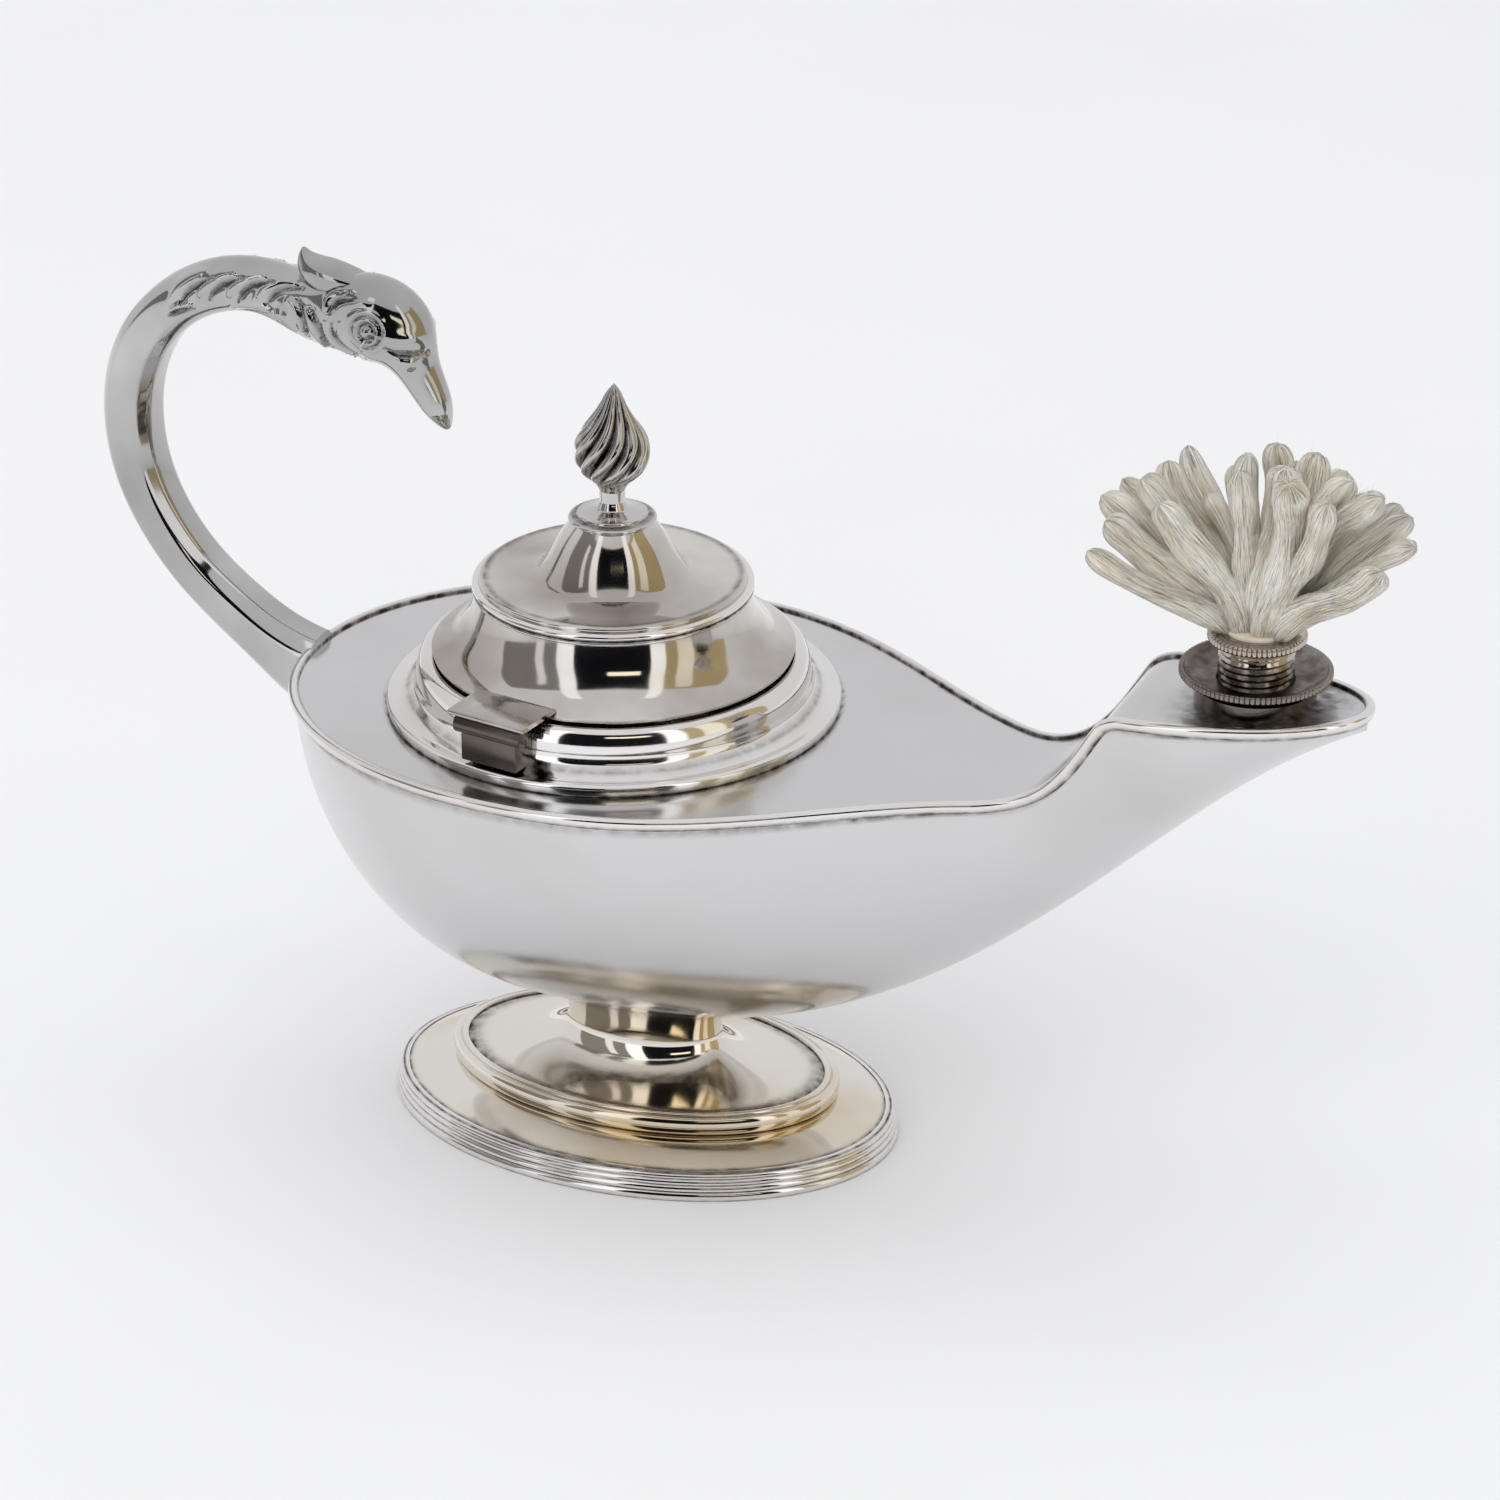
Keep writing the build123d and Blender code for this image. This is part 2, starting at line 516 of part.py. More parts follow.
def lid_bezel():
    """Locating ring inside the skirt that drops into the filler mouth."""
    outer = MOUTH_RADIUS - BEZEL_CLEARANCE
    low = COLLAR_LIP_Z - BEZEL_DEPTH
    points = [
        (outer - 0.9, low), (outer, low), (outer, COLLAR_LIP_Z + LID_GAP),
        (SKIRT_RADIUS - LID_SHEET, COLLAR_LIP_Z + LID_GAP),
        (SKIRT_RADIUS - LID_SHEET, COLLAR_LIP_Z + LID_GAP + 0.45),
        (outer - 0.9, COLLAR_LIP_Z + LID_GAP + 0.45),
    ]
    return turned(profile_face(points), LID_X)


def finial_flame():
    """Cast finial: stepped disc, spool neck, flame body and the threaded stud below."""
    top = CONE_TOP_Z + FINIAL_DISC_THICKNESS
    span = FLAME_TIP_Z - FLAME_BASE_Z
    neck = FINIAL_NECK_RADIUS
    flame = [(0.62, 0.0), (0.92, 0.16), (1.0, 0.33), (0.86, 0.5), (0.5, 0.7), (0.22, 0.87), (0.0, 1.0)]
    curve = Spline(*[(FLAME_RADIUS * r, 0, FLAME_BASE_Z + span * h) for r, h in flame])
    spool = Spline((neck + 1.4, 0, top), (neck, 0, (top + FLAME_BASE_Z) / 2), curve @ 0)
    stud_low = CONE_TOP_Z - LID_SHEET - NUT_HEIGHT - 0.6
    below = Polyline(
        curve @ 1, (0, 0, stud_low), (STUD_RADIUS, 0, stud_low), (STUD_RADIUS, 0, CONE_TOP_Z),
        (FINIAL_DISC_RADIUS - 0.4, 0, CONE_TOP_Z), (FINIAL_DISC_RADIUS, 0, CONE_TOP_Z + 0.35),
        (FINIAL_DISC_RADIUS, 0, CONE_TOP_Z + 0.7), (FINIAL_DISC_RADIUS - 1.1, 0, CONE_TOP_Z + 0.8),
        (FINIAL_DISC_RADIUS - 1.3, 0, top), spool @ 0,
    )
    return turned(make_face([below, spool, curve]), LID_X)


def finial_nut():
    """Square nut on the stud, inside the cap."""
    high = CONE_TOP_Z - LID_SHEET
    nut = Pos(LID_X, 0, high - NUT_HEIGHT / 2) * Box(NUT_ACROSS_FLATS, NUT_ACROSS_FLATS, NUT_HEIGHT)
    return nut - disc(STUD_RADIUS, high - NUT_HEIGHT - 1, high + 1, LID_X)


# ---- burner and wick ----------------------------------------------------------------------
def burner_seat(plate):
    """Turned seat on the spout platform with a sleeve, bored for the burner's screw."""
    bore = TUBE_RADIUS + TUBE_CLEARANCE
    flange = disc(SEAT_RADIUS, DECK_TURN[-1][1], SEAT_TOP_Z, BURNER_X) - deck_band(-20.0, 0.0)
    sleeve = disc(SLEEVE_RADIUS, SLEEVE_BOTTOM_Z, SEAT_TOP_Z, BURNER_X)
    return flange + sleeve - disc(bore, SLEEVE_BOTTOM_Z - 1, SEAT_TOP_Z + 1, BURNER_X) - plate


def wick_tube():
    """Screwed tube that holds the wick, from inside the spout up to the knurled cap."""
    outer = disc(TUBE_RADIUS, TUBE_BOTTOM_Z, CAP_TOP_Z, BURNER_X)
    return outer - disc(TUBE_BORE, TUBE_BOTTOM_Z - 1, CAP_TOP_Z + 1, BURNER_X)


def drip_dish():
    """Shallow saucer round the tube with an upright milled rim."""
    low = DISH_FLOOR_Z
    points = [
        (TUBE_RADIUS, low), (SEAT_RADIUS - 0.6, low), (DISH_RADIUS - 0.2, DISH_RIM_Z - DISH_RIM_HEIGHT),
        (DISH_RADIUS, DISH_RIM_Z - DISH_RIM_HEIGHT + 0.2), (DISH_RADIUS, DISH_RIM_Z - 0.15),
        (DISH_RADIUS - 0.2, DISH_RIM_Z), (DISH_RADIUS - DISH_SHEET, DISH_RIM_Z),
        (SEAT_RADIUS - 1.0, low + DISH_SHEET), (TUBE_RADIUS, low + DISH_SHEET),
    ]
    return turned(profile_face(points), BURNER_X)


def burner_cap():
    """Milled ring at the top of the tube, the finger grip for unscrewing the burner."""
    ring = disc(CAP_RADIUS, CAP_BOTTOM_Z, CAP_TOP_Z, BURNER_X)
    ring = chamfer(ring.edges().filter_by(GeomType.CIRCLE), 0.2)
    return ring - disc(TUBE_RADIUS, CAP_BOTTOM_Z - 1, CAP_TOP_Z + 1, BURNER_X)


def wick_core():
    """Bundle of cotton roving inside the tube."""
    return disc(TUBE_BORE - WICK_GAP, TUBE_BOTTOM_Z, CAP_TOP_Z + WICK_GAP, BURNER_X)


def wick_tuft():
    """Fan of loose roving above the burner, as one plain soft solid."""
    start = TUBE_BORE - WICK_GAP
    low = CAP_TOP_Z + WICK_GAP
    span = TUFT_WIDEST_Z - low
    rings = [
        (start, start, low), (start + 1.6, start + 1.2, low + 0.16 * span),
        (TUFT_LENGTH_RADIUS * 0.6, TUFT_WIDTH_RADIUS * 0.6, low + 0.5 * span),
        (TUFT_LENGTH_RADIUS, TUFT_WIDTH_RADIUS, TUFT_WIDEST_Z),
        (TUFT_LENGTH_RADIUS * 0.86, TUFT_WIDTH_RADIUS * 0.82, TUFT_TOP_Z),
    ]
    return Pos(BURNER_X, 0, 0) * oval_stack(rings)


def wick_tail():
    """Wick lying down the spout from under the burner into the oil."""
    radius = TAIL_RADIUS
    clear = BOWL_SHEET * 1.5 + radius + 0.5
    xs = [BURNER_X - 1.0, BURNER_X - 12.0, BURNER_X - 24.0, BURNER_X - 40.0]
    route = [(x, 0, keel_height(x) + clear * 1.25) for x in xs]
    path = FilletPolyline(*route, radius=14.0)
    start = Plane(origin=path @ 0, z_dir=path % 0)
    return sweep(start * Circle(radius), path)


# ---- handle -------------------------------------------------------------------------------
def handle_section(index):
    """Oval section of the swan neck across its path."""
    behind, above, half_high, half_wide = HANDLE_STATIONS[index]
    before = HANDLE_STATIONS[max(index - 1, 0)]
    after = HANDLE_STATIONS[min(index + 1, len(HANDLE_STATIONS) - 1)]
    along = Vector(after[0] - before[0], 0, after[1] - before[1]).normalized()
    plane = Plane(origin=(REAR_X + behind, 0, DECK_Z + above), x_dir=(0, 1, 0), z_dir=along)
    return plane * Ellipse(half_wide, half_high)


def swan_handle(outer, deck, wire):
    """Cast swan neck with its head, bill and crest, cut to sit on the bowl's rear."""
    neck = loft([handle_section(i) for i in range(len(HANDLE_STATIONS))])
    base = Plane((CREST_X + 2.2, 0, CREST_TOP_Z - 7.5)) * Ellipse(3.6, 1.9)
    tip = Plane((CREST_X, 0, CREST_TOP_Z)) * Ellipse(0.8, 0.6)
    crest = loft([base, tip], ruled=True)
    bowl = outer - deck_band(-DECK_SHEET, 30.0)
    return neck + crest - bowl - deck - wire


# ---- build --------------------------------------------------------------------------------
def build_nodes():
    """Every node of the lamp, by name."""
    outer = bowl_solid(0.0, 4.0, REAR_X + END_CAP, TIP_X - END_CAP)
    cavity = bowl_solid(BOWL_SHEET, 4.0, REAR_X + 2.2, TIP_X - 5.0)
    plate = deck_plate()
    wire = deck_rim_wire()
    collar = collar_solid()
    skirt = lid_skirt()
    return {
        "foot_base": foot_base(),
        "foot_reeded_rim": foot_reeded_rim(),
        "foot_pedestal": foot_pedestal(outer),
        "hull_bowl": hull_bowl(outer, cavity),
        "deck_plate": plate,
        "deck_rim_wire": wire,
        "filler_collar": collar,
        "hinge_fixed_leaf": hinge_fixed_leaf(collar),
        "hinge_pin": hinge_pin(),
        "hinge_lid_leaf": hinge_lid_leaf(skirt),
        "lid_skirt": skirt,
        "lid_bead_wire": lid_bead_wire(skirt),
        "lid_cap": lid_cap(),
        "lid_bezel": lid_bezel(),
        "finial_flame": finial_flame(),
        "finial_nut": finial_nut(),
        "swan_handle": swan_handle(outer, deck_blank(), wire),
        "burner_seat": burner_seat(plate),
        "wick_tube": wick_tube(),
        "drip_dish": drip_dish(),
        "burner_cap": burner_cap(),
        "wick_core": wick_core(),
        "wick_tuft": wick_tuft(),
        "wick_tail": wick_tail(),
    }


os.makedirs("parts", exist_ok=True)
for name, shape in build_nodes().items():
    export_step(shape, f"parts/{name}.step")
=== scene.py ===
"""Looks of the boat-shaped, silver-plated table lamp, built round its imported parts.

The shape functions work in millimetres, as the maker's drawing does, and every mesh is
written in metres. +X points to the spout, +Z up, and the lamp stands on z = 0.
"""

import logging
import math
from dataclasses import dataclass, field
from enum import Enum
from typing import Callable, Optional, Sequence

import bmesh
import bpy
import numpy as np
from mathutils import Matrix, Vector


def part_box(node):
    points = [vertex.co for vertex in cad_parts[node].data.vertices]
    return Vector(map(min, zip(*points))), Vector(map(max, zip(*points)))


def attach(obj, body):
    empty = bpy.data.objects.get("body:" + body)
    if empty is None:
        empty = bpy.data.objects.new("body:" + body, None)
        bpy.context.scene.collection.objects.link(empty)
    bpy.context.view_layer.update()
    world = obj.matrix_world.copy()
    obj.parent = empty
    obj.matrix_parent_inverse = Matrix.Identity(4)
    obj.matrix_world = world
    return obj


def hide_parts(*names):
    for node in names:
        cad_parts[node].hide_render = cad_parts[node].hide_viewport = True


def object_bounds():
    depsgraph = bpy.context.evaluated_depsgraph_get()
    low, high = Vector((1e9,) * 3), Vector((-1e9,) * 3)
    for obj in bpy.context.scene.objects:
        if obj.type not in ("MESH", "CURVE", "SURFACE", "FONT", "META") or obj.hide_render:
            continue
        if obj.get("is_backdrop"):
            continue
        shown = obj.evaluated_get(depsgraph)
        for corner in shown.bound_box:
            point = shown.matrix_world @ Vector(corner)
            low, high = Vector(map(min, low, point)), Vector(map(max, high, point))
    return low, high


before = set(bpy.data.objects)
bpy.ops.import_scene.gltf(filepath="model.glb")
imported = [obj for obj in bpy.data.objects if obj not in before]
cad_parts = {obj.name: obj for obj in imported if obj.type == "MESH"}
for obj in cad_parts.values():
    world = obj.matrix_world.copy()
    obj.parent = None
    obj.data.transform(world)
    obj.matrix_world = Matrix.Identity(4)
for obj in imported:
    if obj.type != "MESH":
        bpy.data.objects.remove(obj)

MM = 0.001
# Point attribute of tarnish in seams and of painted shade, which darkens the finishes.
GRIME_AND_SHADE = "grime_and_shade"
log = logging.getLogger("lamp")

Array = np.ndarray


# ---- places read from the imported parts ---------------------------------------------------
def box_mm(node: str) -> tuple[Array, Array]:
    """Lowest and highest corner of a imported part, in millimetres.

    Args:
        node: The part's name.

    Returns:
        The two corners as arrays of x, y and z.
    """
    low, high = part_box(node)
    return np.array(low) / MM, np.array(high) / MM


def axis_x(node: str) -> float:
    """Place along X of a turned part's upright axis, in millimetres."""
    low, high = box_mm(node)
    return float((low[0] + high[0]) / 2)


# ---- numbers ------------------------------------------------------------------------------
def smooth_step(x: Array, start: float, end: float) -> Array:
    """Share that rises smoothly from 0 at start to 1 at end: t*t*(3-2t)."""
    t = np.clip((x - start) / (end - start), 0, 1)
    return t * t * (3 - 2 * t)


def bell(distance: Array, width: float) -> Array:
    """Bell curve exp(-(d/width)^2), 1 at no distance."""
    return np.exp(-((distance / width) ** 2))


def natural_spline(knots: Array, values: Array, at: Array) -> Array:
    """Natural cubic spline through the values at the knots.

    The second derivatives solve the usual three-band system and are nil at both ends.

    Args:
        knots: Rising places of the values.
        values: One row of numbers for each knot.
        at: Places to work the curve out at.

    Returns:
        One row of numbers for each place.
    """
    gaps = np.diff(knots)
    slopes = np.diff(values, axis=0) / gaps[:, None]
    count = len(knots)
    system = np.eye(count)
    right = np.zeros_like(values, dtype=float)
    inner = np.arange(1, count - 1)
    system[inner, inner - 1] = gaps[:-1]
    system[inner, inner] = 2 * (gaps[:-1] + gaps[1:])
    system[inner, inner + 1] = gaps[1:]
    right[1:-1] = 6 * np.diff(slopes, axis=0)
    bend = np.linalg.solve(system, right)
    i = np.clip(np.searchsorted(knots, at) - 1, 0, count - 2)
    t = (at - knots[i])[:, None]
    gap = gaps[i][:, None]
    first = slopes[i] - gap * (2 * bend[i] + bend[i + 1]) / 6
    return values[i] + first * t + bend[i] * t**2 / 2 + (bend[i + 1] - bend[i]) * t**3 / (6 * gap)


def rounded(points: Sequence[tuple[float, float]], radius: float, closed: bool = True) -> Array:
    """Profile with each corner replaced by a short quadratic curve.

    A corner p between a and b becomes (1-t)^2 s + 2t(1-t) p + t^2 e, where s and e lie on the
    two sides, the radius away from p or at most 0.45 of the side.

    Args:
        points: Corners of the profile, as (radius, height) pairs.
        radius: Reach of each curve along its two sides.
        closed: True if the last corner joins the first.

    Returns:
        The dense profile, one (radius, height) row for each point.
    """
    corners = np.array(points, float)
    out = []
    t = np.linspace(0, 1, 6)[:, None]
    for i, corner in enumerate(corners):
        if not closed and i in (0, len(corners) - 1):
            out.append(corner[None])
            continue
        sides = [corners[i - 1] - corner, corners[(i + 1) % len(corners)] - corner]
        ends = [corner + s * min(radius / np.linalg.norm(s), 0.45) for s in sides]
        out.append((1 - t) ** 2 * ends[0] + 2 * t * (1 - t) * corner + t**2 * ends[1])
    return np.concatenate(out)


def dense(profile: Array, step: float) -> Array:
    """Profile with extra points on its long straight sides, no further apart than step.

    Args:
        profile: The (radius, height) points.
        step: Longest gap allowed.

    Returns:
        The denser profile.
    """
    out = [profile[:1]]
    for a, b in zip(profile[:-1], profile[1:]):
        count = max(1, int(np.ceil(np.linalg.norm(b - a) / step)))
        out.append(a + (b - a) * np.linspace(0, 1, count + 1)[1:, None])
    return np.concatenate(out)


# ---- meshes -------------------------------------------------------------------------------
@dataclass
class Shell:
    """A surface on a grid: points of shape (rows, columns, 3), in millimetres."""

    points: Array
    wrap_rows: bool = False
    wrap_columns: bool = True
    # Share of seam tarnish and painted shade at each point.
    grime_and_shade: Optional[Array] = None
    uv: Optional[Array] = None


def grid_quads(rows: int, columns: int, wrap_rows: bool, wrap_columns: bool) -> Array:
    """Corner numbers of each square of a grid, one row of four for each.

    Args:
        rows: Points down the grid.
        columns: Points across it.
        wrap_rows: True if the last row joins the first.
        wrap_columns: True if the last column joins the first.

    Returns:
        The corner numbers.
    """
    down = np.arange(rows if wrap_rows else rows - 1)
    across = np.arange(columns if wrap_columns else columns - 1)
    r, c = np.meshgrid(down, across, indexing="ij")
    r_next, c_next = (r + 1) % rows, (c + 1) % columns
    corners = [r * columns + c, r * columns + c_next, r_next * columns + c_next, r_next * columns + c]
    return np.stack(corners, -1).reshape(-1, 4)


def mesh_of(name: str, shells: Sequence[Shell], closed: bool = True) -> bpy.types.Mesh:
    """Mesh of several grids, with its seams and poles merged and its faces turned outwards.

    Args:
        name: Name of the mesh.
        shells: The grids.
        closed: True if every grid closes on itself, so that outwards is known.

    Returns:
        The mesh, in metres, with the share of seam tarnish and painted shade as a point attribute.
    """
    points, quads, grime_and_shade, uvs, start = [], [], [], [], 0
    for shell in shells:
        rows, columns = shell.points.shape[:2]
        points.append(shell.points.reshape(-1, 3) * MM)
        quads.append(grid_quads(rows, columns, shell.wrap_rows, shell.wrap_columns) + start)
        dirt_and_shade = np.zeros((rows, columns)) if shell.grime_and_shade is None else shell.grime_and_shade
        grime_and_shade.append(np.broadcast_to(dirt_and_shade, (rows, columns)).ravel())
        uvs.append(np.zeros((rows * columns, 2)) if shell.uv is None else shell.uv.reshape(-1, 2))
        start += rows * columns
    mesh = bpy.data.meshes.new(name)
    points, quads = np.concatenate(points), np.concatenate(quads)
    mesh.vertices.add(len(points))
    mesh.vertices.foreach_set("co", points.astype(np.float32).ravel())
    mesh.loops.add(quads.size)
    mesh.loops.foreach_set("vertex_index", quads.ravel().astype(np.int32))
    mesh.polygons.add(len(quads))
    mesh.polygons.foreach_set("loop_start", np.arange(0, quads.size, 4, dtype=np.int32))
    mesh.update(calc_edges=True)
    mesh.attributes.new(GRIME_AND_SHADE, "FLOAT", "POINT").data.foreach_set(
        "value", np.concatenate(grime_and_shade).astype(np.float32)
    )
    layer = mesh.uv_layers.new(name="UVMap")
    layer.data.foreach_set("uv", np.concatenate(uvs)[quads.ravel()].astype(np.float32).ravel())
    work = bmesh.new()
    work.from_mesh(mesh)
    bmesh.ops.remove_doubles(work, verts=work.verts, dist=2e-6)
    if closed:
        bmesh.ops.recalc_face_normals(work, faces=work.faces)
    work.to_mesh(mesh)
    work.free()
    return mesh


def add_piece(
    name: str,
    mesh: bpy.types.Mesh,
    finish: "Finish",
    body: str,
    replaced: Sequence[str] = (),
    crease: float = 38.0,
) -> bpy.types.Object:
    """Piece of the lamp from its finished mesh, riding on a body and dressed in a finish.

    Args:
        name: Name of the piece.
        mesh: Its mesh, in metres.
        finish: The finish that it takes.
        body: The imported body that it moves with.
        replaced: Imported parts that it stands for.
        crease: Angle in degrees past which an edge stays sharp.

    Returns:
        The piece.
    """
    piece = bpy.data.objects.new(name, mesh)
    bpy.context.scene.collection.objects.link(piece)
    mesh.shade_smooth()
    mesh.set_sharp_from_angle(angle=math.radians(crease))
    mesh.materials.append(finish.material())
    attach(piece, body)
    if replaced:
        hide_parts(*replaced)
    log.info("%s: %d faces on %s", name, len(mesh.polygons), body)
    return piece


def revolved(
    profile: Array,
    centre_x: float,
    steps: int = 256,
    closed: bool = True,
    grime_and_shade: Optional[Array] = None,
    ripple: Optional[Callable[[Array, Array], Array]] = None,
) -> Shell:
    """Profile turned about an upright axis: x = c + r cos a, y = r sin a, z = h.

    Args:
        profile: (radius, height) rows.
        centre_x: Place of the axis along X.
        steps: Points round the axis.
        closed: True if the profile's ends join.
        grime_and_shade: Share of seam tarnish and painted shade at each profile point.
        ripple: Function of the radii and the angles that gives what is added to each radius.

    Returns:
        The shell.
    """
    angle = np.linspace(0, 2 * math.pi, steps, endpoint=False)
    radius = np.repeat(profile[:, :1], steps, 1)
    if ripple is not None:
        radius = radius + ripple(profile, angle)
    height = np.repeat(profile[:, 1:2], steps, 1)
    points = np.stack([centre_x + radius * np.cos(angle), radius * np.sin(angle), height], -1)
    dirt_and_shade = None if grime_and_shade is None else np.repeat(grime_and_shade[:, None], steps, 1)
    return Shell(points, closed, True, dirt_and_shade)


def oval_shell(rings: Array, steps: int = 288, closed: bool = True, grime_and_shade: Optional[Array] = None) -> Shell:
    """Level ovals joined up: x = a cos t, y = b sin t, z = h.

    Args:
        rings: (half-length a, half-width b, height h) rows.
        steps: Points round each oval.
        closed: True if the last oval joins the first.
        grime_and_shade: Share of seam tarnish and painted shade on each oval.

    Returns:
        The shell.
    """
    angle = np.linspace(0, 2 * math.pi, steps, endpoint=False)
    a, b, h = (rings[:, i : i + 1] for i in range(3))
    points = np.stack([a * np.cos(angle), b * np.sin(angle), h + 0 * angle], -1)
    dirt_and_shade = None if grime_and_shade is None else np.repeat(grime_and_shade[:, None], steps, 1)
    return Shell(points, closed, True, dirt_and_shade)


# ---- finishes -----------------------------------------------------------------------------
class Board:
    """Node tree of one material, with short calls to add and join nodes."""

    def __init__(self, name: str) -> None:
        """Starts an empty material whose Principled shader feeds its output.

        Args:
            name: The material's name.
        """
        self.material = bpy.data.materials.new(name)
        self.material.use_nodes = True
        self.tree = self.material.node_tree
        self.tree.nodes.clear()
        self.shader = self.add("ShaderNodeBsdfPrincipled")
        output = self.add("ShaderNodeOutputMaterial")
        self.join(self.shader.outputs["BSDF"], output.inputs["Surface"])

    def add(self, kind: str, **values: object) -> bpy.types.Node:
        """Adds a node and sets its properties, or its inputs by their names.

        Args:
            kind: Blender's name of the node type.
            **values: Properties of the node, or inputs with their spaces as underscores.

        Returns:
            The node.
        """
        node = self.tree.nodes.new(kind)
        for key, value in values.items():
            if hasattr(node, key):
                setattr(node, key, value)
            else:
                node.inputs[key.replace("_", " ")].default_value = value
        return node

    def join(self, source: bpy.types.NodeSocket, target: bpy.types.NodeSocket) -> None:
        """Links an output to an input."""
        self.tree.links.new(source, target)

    def noise(self, scale: float, detail: float, stretch: tuple[float, float, float] = (1, 1, 1),
              space: str = "Object") -> bpy.types.NodeSocket:
        """Noise on the piece's own coordinates.

        Args:
            scale: Ripples in each metre, or across the UV map.
            detail: Octaves of finer noise.
            stretch: Scale of each axis before the noise.
            space: Which texture coordinate it reads.

        Returns:
            The noise's value output.
        """
        where = self.add("ShaderNodeTexCoord")
        turn = self.add("ShaderNodeMapping")
        turn.inputs["Scale"].default_value = stretch
        noise = self.add("ShaderNodeTexNoise", Scale=scale, Detail=detail)
        self.join(where.outputs[space], turn.inputs["Vector"])
        self.join(turn.outputs["Vector"], noise.inputs["Vector"])
        return noise.outputs["Fac"]

    def span(self, source: bpy.types.NodeSocket, low: float, high: float, start: float,
             end: float) -> bpy.types.NodeSocket:
        """Value moved from the range low..high to start..end, and held inside it.

        Args:
            source: The value.
            low: Where the first range starts.
            high: Where it ends.
            start: Where the second range starts.
            end: Where it ends.

        Returns:
            The moved value.
        """
        node = self.add("ShaderNodeMapRange")
        for key, value in (("From Min", low), ("From Max", high), ("To Min", start), ("To Max", end)):
            node.inputs[key].default_value = value
        self.join(source, node.inputs["Value"])
        return node.outputs["Result"]

    def sum(self, first: bpy.types.NodeSocket, second: bpy.types.NodeSocket,
            operation: str = "ADD") -> bpy.types.NodeSocket:
        """Two values added, or joined by another operation, and held between 0 and 1.

        Args:
            first: One value.
            second: The other.
            operation: Blender's name of the operation.

        Returns:
            The result.
        """
        node = self.add("ShaderNodeMath", operation=operation, use_clamp=True)
        self.join(first, node.inputs[0])
        self.join(second, node.inputs[1])
        return node.outputs[0]

    def blend(self, share: bpy.types.NodeSocket, first: object, second: object) -> bpy.types.NodeSocket:
        """Colour that goes from first to second as share goes from 0 to 1.

        Args:
            share: The share.
            first: A colour, or an output that gives one.
            second: The other colour.

        Returns:
            The mixed colour.
        """
        node = self.add("ShaderNodeMix", data_type="RGBA")
        self.join(share, node.inputs["Factor"])
        for socket, value in ((node.inputs[6], first), (node.inputs[7], second)):
            if isinstance(value, bpy.types.NodeSocket):
                self.join(value, socket)
            else:
                socket.default_value = (*value, 1.0)
        return node.outputs[2]

    def bump(self, parts: Sequence[tuple[bpy.types.NodeSocket, float]]) -> None:
        """Bumps laid one over another on the shader.

        Args:
            parts: The height of each and its depth in metres.
        """
        below = None
        for height, depth in parts:
            node = self.add("ShaderNodeBump", Strength=1.0, Distance=depth)
            self.join(height, node.inputs["Height"])
            if below is not None:
                self.join(below, node.inputs["Normal"])
            below = node.outputs["Normal"]
        self.join(below, self.shader.inputs["Normal"])


class Polish(Enum):
    """How bright a metal surface was left: its lowest and highest roughness."""

    MIRROR = (0.045, 0.11)
    SOFT = (0.13, 0.24)
    WORN = (0.12, 0.32)


@dataclass(frozen=True)
class Finish:
    """What every finish has: its name and the record's material slot that it stands for."""

    name: str
    slot: str

    def material(self) -> bpy.types.Material:
        """The Blender material, made the first time it is asked for."""
        found = bpy.data.materials.get(self.name)
        return found or self.build()

    def build(self) -> bpy.types.Material:
        """Makes the material; each kind of finish has its own."""
        raise NotImplementedError


@dataclass(frozen=True)
class Metal(Finish):
    """Polished metal with a faint wave, hairlines, warm patches, tarnish in its seams, and painted shade
    where a piece marks it.
    """

    colour: tuple[float, float, float]
    patch: tuple[float, float, float]
    dirt_and_shade: tuple[float, float, float]
    polish: Polish
    patch_share: float = 0.5
    wave: float = 0.00008
    scratch: float = 0.0000022

    def build(self) -> bpy.types.Material:
        """Colour from slow and quick noise, roughness from a third, and the dark of seam tarnish and painted
        shade from the shared attribute.

        Returns:
            The finish's material.
        """
        board = Board(self.name)
        low, high = self.polish.value
        slow = board.noise(26.0, 4.0)
        patches = board.span(slow, 0.42, 0.66, 0.0, self.patch_share)
        toned = board.blend(patches, self.colour, self.patch)
        grime_and_shade = board.add("ShaderNodeAttribute", attribute_name=GRIME_AND_SHADE)
        breakup = board.span(board.noise(520.0, 5.0), 0.3, 0.7, 0.45, 1.35)
        # Seam tarnish and painted shade share one attribute and one dark colour.
        dirt_and_shade = board.sum(grime_and_shade.outputs["Fac"], breakup, "MULTIPLY")
        board.join(board.blend(dirt_and_shade, toned, self.dirt_and_shade), board.shader.inputs["Base Color"])
        gloss = board.span(board.noise(70.0, 6.0), 0.3, 0.72, low, high)
        rougher = board.span(dirt_and_shade, 0.0, 1.0, 0.0, 0.3)
        board.join(board.sum(gloss, rougher), board.shader.inputs["Roughness"])
        board.shader.inputs["Metallic"].default_value = 1.0
        hairlines = board.noise(900.0, 3.0, (0.12, 1.0, 1.0))
        cross = board.noise(760.0, 3.0, (1.0, 0.1, 0.6))
        board.bump([
            (board.noise(24.0, 1.0), self.wave),
            (board.sum(hairlines, cross, "MULTIPLY"), self.scratch),
        ])
        return board.material


